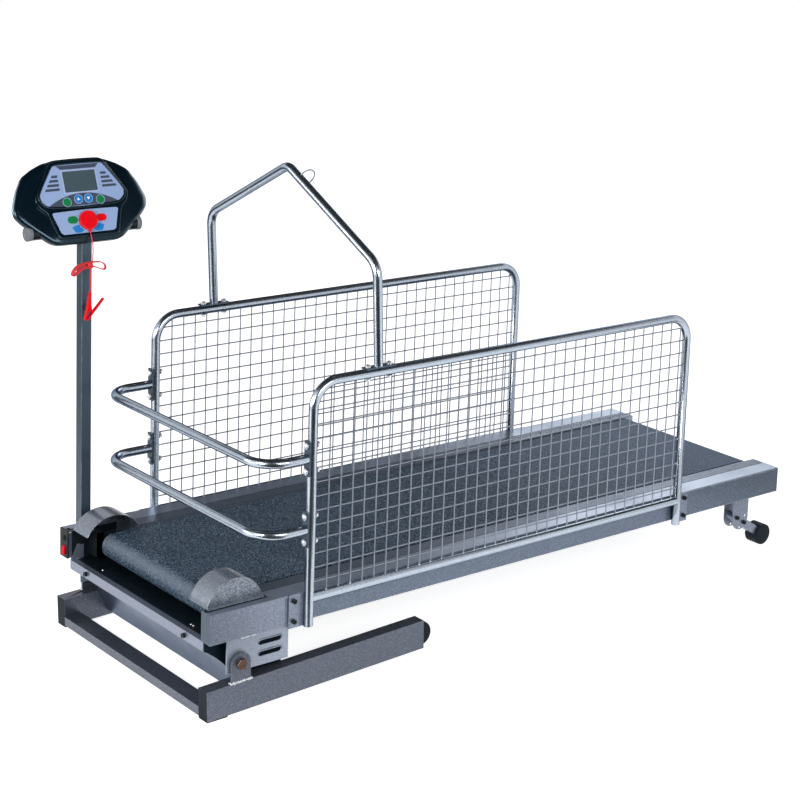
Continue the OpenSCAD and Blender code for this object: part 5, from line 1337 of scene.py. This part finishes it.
# %% Band, arc, fans and level bars
PRINT = (0.2, 0.55, 0.1)
ARC_LOW = ((-96.0, 55.6), (-60.0, 54.0), (0.0, 53.0), (60.0, 54.0), (96.0, 55.6))
BAND = ((-64.0, 166.0), (-52.0, 154.5), (52.0, 154.5), (64.0, 166.0))
FAN_MIDDLE, FAN_OUT, FAN_IN, FAN_LOW = (0.0, 10.0), 50.0, 28.0, -21.0
FAN_FROM, FAN_TO, FAN_STEPS = 343.0, 298.0, 12
ARC_MIDDLE, ARC_R, ARC_FROM, ARC_TO, ARC_STEPS = (0.0, -107.0), 194.0, 57.5, 122.5, 32
BAR_COUNT, BAR_HIGH, BAR_INNER, BAR_REACH, BAR_DOWN, BAR_GROW = 4, 141.0, 64.0, 80.0, 12.0, 8.0
BAR_TALL, BAR_SLANT = 7.0, 4.0


def arc_line(middle, radius, start, end, count):
    steps = [math.radians(start + (end - start) * k / count) for k in range(count + 1)]
    return [Vector((middle[0] + radius * math.cos(a), middle[1] + radius * math.sin(a))) for a in steps]


def printed(name, line, finish=FACE_SLATE):
    """A flat printed shape on the film."""
    return place(name, plate(name, line, *PRINT, finish), "deck")


arc = arc_line(ARC_MIDDLE, ARC_R, ARC_FROM, ARC_TO, ARC_STEPS)
printed("face_arc", arc + [Vector(p) for p in ARC_LOW])
printed("face_band", [Vector(p) for p in BAND])
fan = arc_line(FAN_MIDDLE, FAN_OUT, FAN_FROM, FAN_TO, FAN_STEPS)
fan += arc_line(FAN_MIDDLE, FAN_IN, FAN_TO, FAN_FROM, FAN_STEPS)
for title, side in (("left", -1), ("right", 1)):
    printed("face_fan_" + title, [Vector((side * p.x, max(p.y, FAN_LOW))) for p in fan], BLUE)
    for k in range(BAR_COUNT):
        top, reach = BAR_HIGH - BAR_DOWN * k, BAR_REACH + BAR_GROW * k
        low = top - BAR_TALL
        corners = ((BAR_INNER, top), (reach, top), (reach + BAR_SLANT, low), (BAR_INNER, low))
        printed("level_bar_" + title + "_" + str(k + 1), [Vector((side * u, v)) for u, v in corners])
print("band, arc, two fans and", 2 * BAR_COUNT, "level bars")

# %% [markdown]
# The display is a dark window in a pale frame, and each round key has a pale ring near its rim. The two
# blue keys have a plain triangle that points up or down. Rings and triangles ride on their keys, so they
# go in with them.

# %% Display, rings and triangles
SQUARE = ((-1, -1), (1, -1), (1, 1), (-1, 1))
SCREEN_U, SCREEN_V, SCREEN_MIDDLE, SCREEN = 49.0, 29.0, 120.0, (-12.7, 0.75, 0.3)
FRAME_WIDE, FRAME_LOW, FRAME_HIGH = 3.6, 0.2, 1.0
TRIANGLE, MARK_U, MARK_V, MARK = ((-5.0, -3.4), (5.0, -3.4), (0.0, 4.6)), 15.0, 71.0, (1.9, 2.25, 0.1)
KEY_RING_IN, KEY_RING_W, KEY_RING_R, KEY_RING_STEPS = 1.6, 2.2, 0.7, 36


def screen_corners(grow):
    return [Vector((u * (SCREEN_U + grow), SCREEN_MIDDLE + v * (SCREEN_V + grow))) for u, v in SQUARE]


def frame_plate(name, wide, finish):
    """A flat frame of given width around the screen."""
    mesh = bmesh.new()
    profile = ((0.0, FRAME_LOW), (0.0, FRAME_HIGH), (wide, FRAME_HIGH), (wide, FRAME_LOW))
    rows = [[FACE @ Vector(p) for p in lifted(screen_corners(grow), w)] for grow, w in profile]
    join_rows(mesh, rows, ring=True)
    return mesh_data(name, mesh, finish, crease=30.0)


screen = place("display_screen", plate("display_screen", screen_corners(0.0), *SCREEN, LCD), "deck")
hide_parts("display")
place("display_frame", frame_plate("display_frame", FRAME_WIDE, FACE_PALE), "deck")
for body, u, up in (("up_button", -MARK_U, 1), ("down_button", MARK_U, -1)):
    corners = [Vector((u + a, MARK_V + up * b)) for a, b in TRIANGLE]
    place(body + "_mark", plate(body + "_mark", corners, *MARK, PRINT_WHITE), body)
for body in ("left_button", "up_button", "down_button", "right_button"):
    low, high = (Vector(c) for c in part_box(body))
    spot = FACE.inverted() @ ((low + high) / 2)
    radius = 500.0 * (high.x - low.x) - KEY_RING_IN
    ring = [spot.xy + Vector((math.cos(a), math.sin(a))) * radius for a in around(KEY_RING_STEPS)]
    data = closed_tube(body + "_ring", ring, KEY_RING_W, KEY_RING_R, FACE_PALE)
    place(body + "_ring", data, body)
print("display, frame, four rings and two triangles")

# %% [markdown]
# A plain room: a pale floor that catches a faint shadow and a white backdrop that camera and reflections
# both see. A dark ceiling and dark cards stand around it that only reflections see. They give polished
# tube its dark flank beside the bright streak of a lamp, as black cards do in a studio.

# %% Floor, backdrop and dark cards
FLOOR_HALF, FLOOR_AT, CEILING_HALF, CEILING_AT, CARD_FLOOR = 12.0, -0.001, 3.4, 3.6, 0.0
FLOOR_LIFT, BACKDROP_DIM, BACKDROP = 0.82, 0.4, 1.0
FLOOR_CARDS = (((-9.0, -9.0), (0.1, -1.35)), ((-9.0, -1.35), (-0.62, -0.7)), ((1.25, -1.45), (3.2, -0.75)),
               ((-9.0, 1.5), (-1.6, 9.0)))
STANDING_CARDS = (("camera_card", (-7.0, -1.8), (-1.2, -7.0), 0.3, 4.5),
                  ("near_card", (-1.2, -7.0), (6.5, -4.9), 3.9, 9.0),
                  ("far_card", (0.8, 3.3), (2.9, 3.3), 0.5, 4.0))


def sheets(name, quads, finish):
    """A piece of the studio made of flat sheets, each given by its four corners."""
    data = bpy.data.meshes.new(name)
    corners = [p for quad in quads for p in quad]
    data.from_pydata(corners, [], [tuple(range(k, k + 4)) for k in range(0, len(corners), 4)])
    data.materials.append(finish)
    made = add_object(name, data)
    return made


def lying(low, high, height):
    """The corners of a level sheet."""
    (left, near), (right, far) = low, high
    return [(left, near, height), (right, near, height), (right, far, height), (left, far, height)]


def square(half, height):
    return [lying((-half, -half), (half, half), height)]


def seen_directly(tree):
    """One where a camera, mirror or glass ray looks, and nought where light only bounces."""
    path = tree.nodes.new("ShaderNodeLightPath").outputs
    both = reckon(tree, "MAXIMUM", path["Is Camera Ray"], path["Is Glossy Ray"])
    return reckon(tree, "MAXIMUM", both, path["Is Transmission Ray"])


floor_finish, floor_tree, floor_shader = new_finish("studio_floor")
floor_grain = add_node(floor_tree, "ShaderNodeTexNoise", {"Scale": 40.0, "Detail": 3.0})
floor_tone = mix_tones(floor_tree, floor_grain.outputs["Fac"], (0.80, 0.80, 0.81), (0.84, 0.84, 0.85))
floor_tree.links.new(floor_tone, floor_shader.inputs["Base Color"])
floor_shader.inputs["Roughness"].default_value = 0.9
floor_shader.inputs["Specular IOR Level"].default_value = 0.1
floor_shader.inputs["Emission Color"].default_value = (*WHITE, 1.0)
floor_lift = reckon(floor_tree, "MULTIPLY", seen_directly(floor_tree), FLOOR_LIFT)
floor_tree.links.new(floor_lift, floor_shader.inputs["Emission Strength"])
sheets("studio_floor", square(FLOOR_HALF, FLOOR_AT), floor_finish)

world = bpy.data.worlds.new("studio")
bpy.context.scene.world = world
world.use_nodes = True
backdrop = world.node_tree.nodes["Background"].inputs
backdrop["Color"].default_value = (*WHITE, 1.0)
level = spread(world.node_tree, seen_directly(world.node_tree), 0.0, 1.0, BACKDROP_DIM, BACKDROP)
world.node_tree.links.new(level, backdrop["Strength"])

card_finish, _, card_shader = new_finish("studio_ceiling")
card_shader.inputs["Base Color"].default_value = (0.01, 0.011, 0.013, 1.0)
cards = [sheets("studio_ceiling", square(CEILING_HALF, CEILING_AT), card_finish)]
for name, left, right, low, high in STANDING_CARDS:
    upright = [(*left, low), (*right, low), (*right, high), (*left, high)]
    cards.append(sheets(name, [upright], card_finish))
cards.append(sheets("floor_card", [lying(low, high, CARD_FLOOR) for low, high in FLOOR_CARDS], card_finish))
for card in cards:
    card.visible_camera = False
    card.visible_diffuse = False
    card.visible_shadow = False
    card.visible_transmission = False
print("floor, backdrop and", len(cards), "dark cards set")

# %% [markdown]
# Soft lamps stand in front, beside and behind. One more lamp only draws bright rims on polished faces,
# and two large ones light nothing but the console's shell, whose dark rims would hardly show without
# them. Blender links such lamps to a collection of the objects that receive their light.

# %% Lamps
SOFTBOXES = (("key_lamp", (-4.0, -1.5, 1.9), (-0.4, 0.0, 0.4), 1.4, 1.2, 84.0),
             ("near_lamp", (-0.5, -3.9, 2.0), (-0.2, 0.0, 0.4), 2.2, 1.0, 58.0),
             ("far_lamp", (3.9, 2.8, 2.4), (0.7, 0.0, 0.3), 1.8, 1.4, 22.0),
             ("front_lamp", (-4.6, 0.6, 1.0), (-1.0, 0.0, 0.25), 1.4, 0.7, 14.0))
RIM_BOX = ("rim_lamp", (-4.2, 1.9, 1.6), (-1.0, 0.3, 1.0), 1.2, 1.6, 50.0)
CONSOLE_AIM, CONSOLE_BOX = (-0.9, 0.3, 1.1), 2.6
CONSOLE_LAMPS = (("console_left", (-3.4, 1.7, 1.9), 210.0), ("console_right", (2.2, 0.1, 1.3), 80.0))


def softbox(name, place_at, aim_at, wide, high, power):
    """A lamp with a rectangular face, turned to a place."""
    lamp = bpy.data.lights.new(name, "AREA")
    lamp.shape = "RECTANGLE"
    lamp.size = wide
    lamp.size_y = high
    lamp.energy = power
    made = add_object(name, lamp)
    made.location = place_at
    made.rotation_euler = (Vector(aim_at) - Vector(place_at)).to_track_quat("-Z", "Y").to_euler()
    return made


for row in SOFTBOXES:
    softbox(*row)
softbox(*RIM_BOX).visible_diffuse = False
console_only = bpy.data.collections.new("console_only")
console_only.objects.link(shell)
for name, spot, power in CONSOLE_LAMPS:
    lamp = softbox(name, spot, CONSOLE_AIM, CONSOLE_BOX, CONSOLE_BOX, power)
    lamp.visible_diffuse = False
    lamp.light_linking.receiver_collection = console_only
bpy.context.scene.view_settings.view_transform = "Standard"
print("seven lamps, two of them for the console alone")
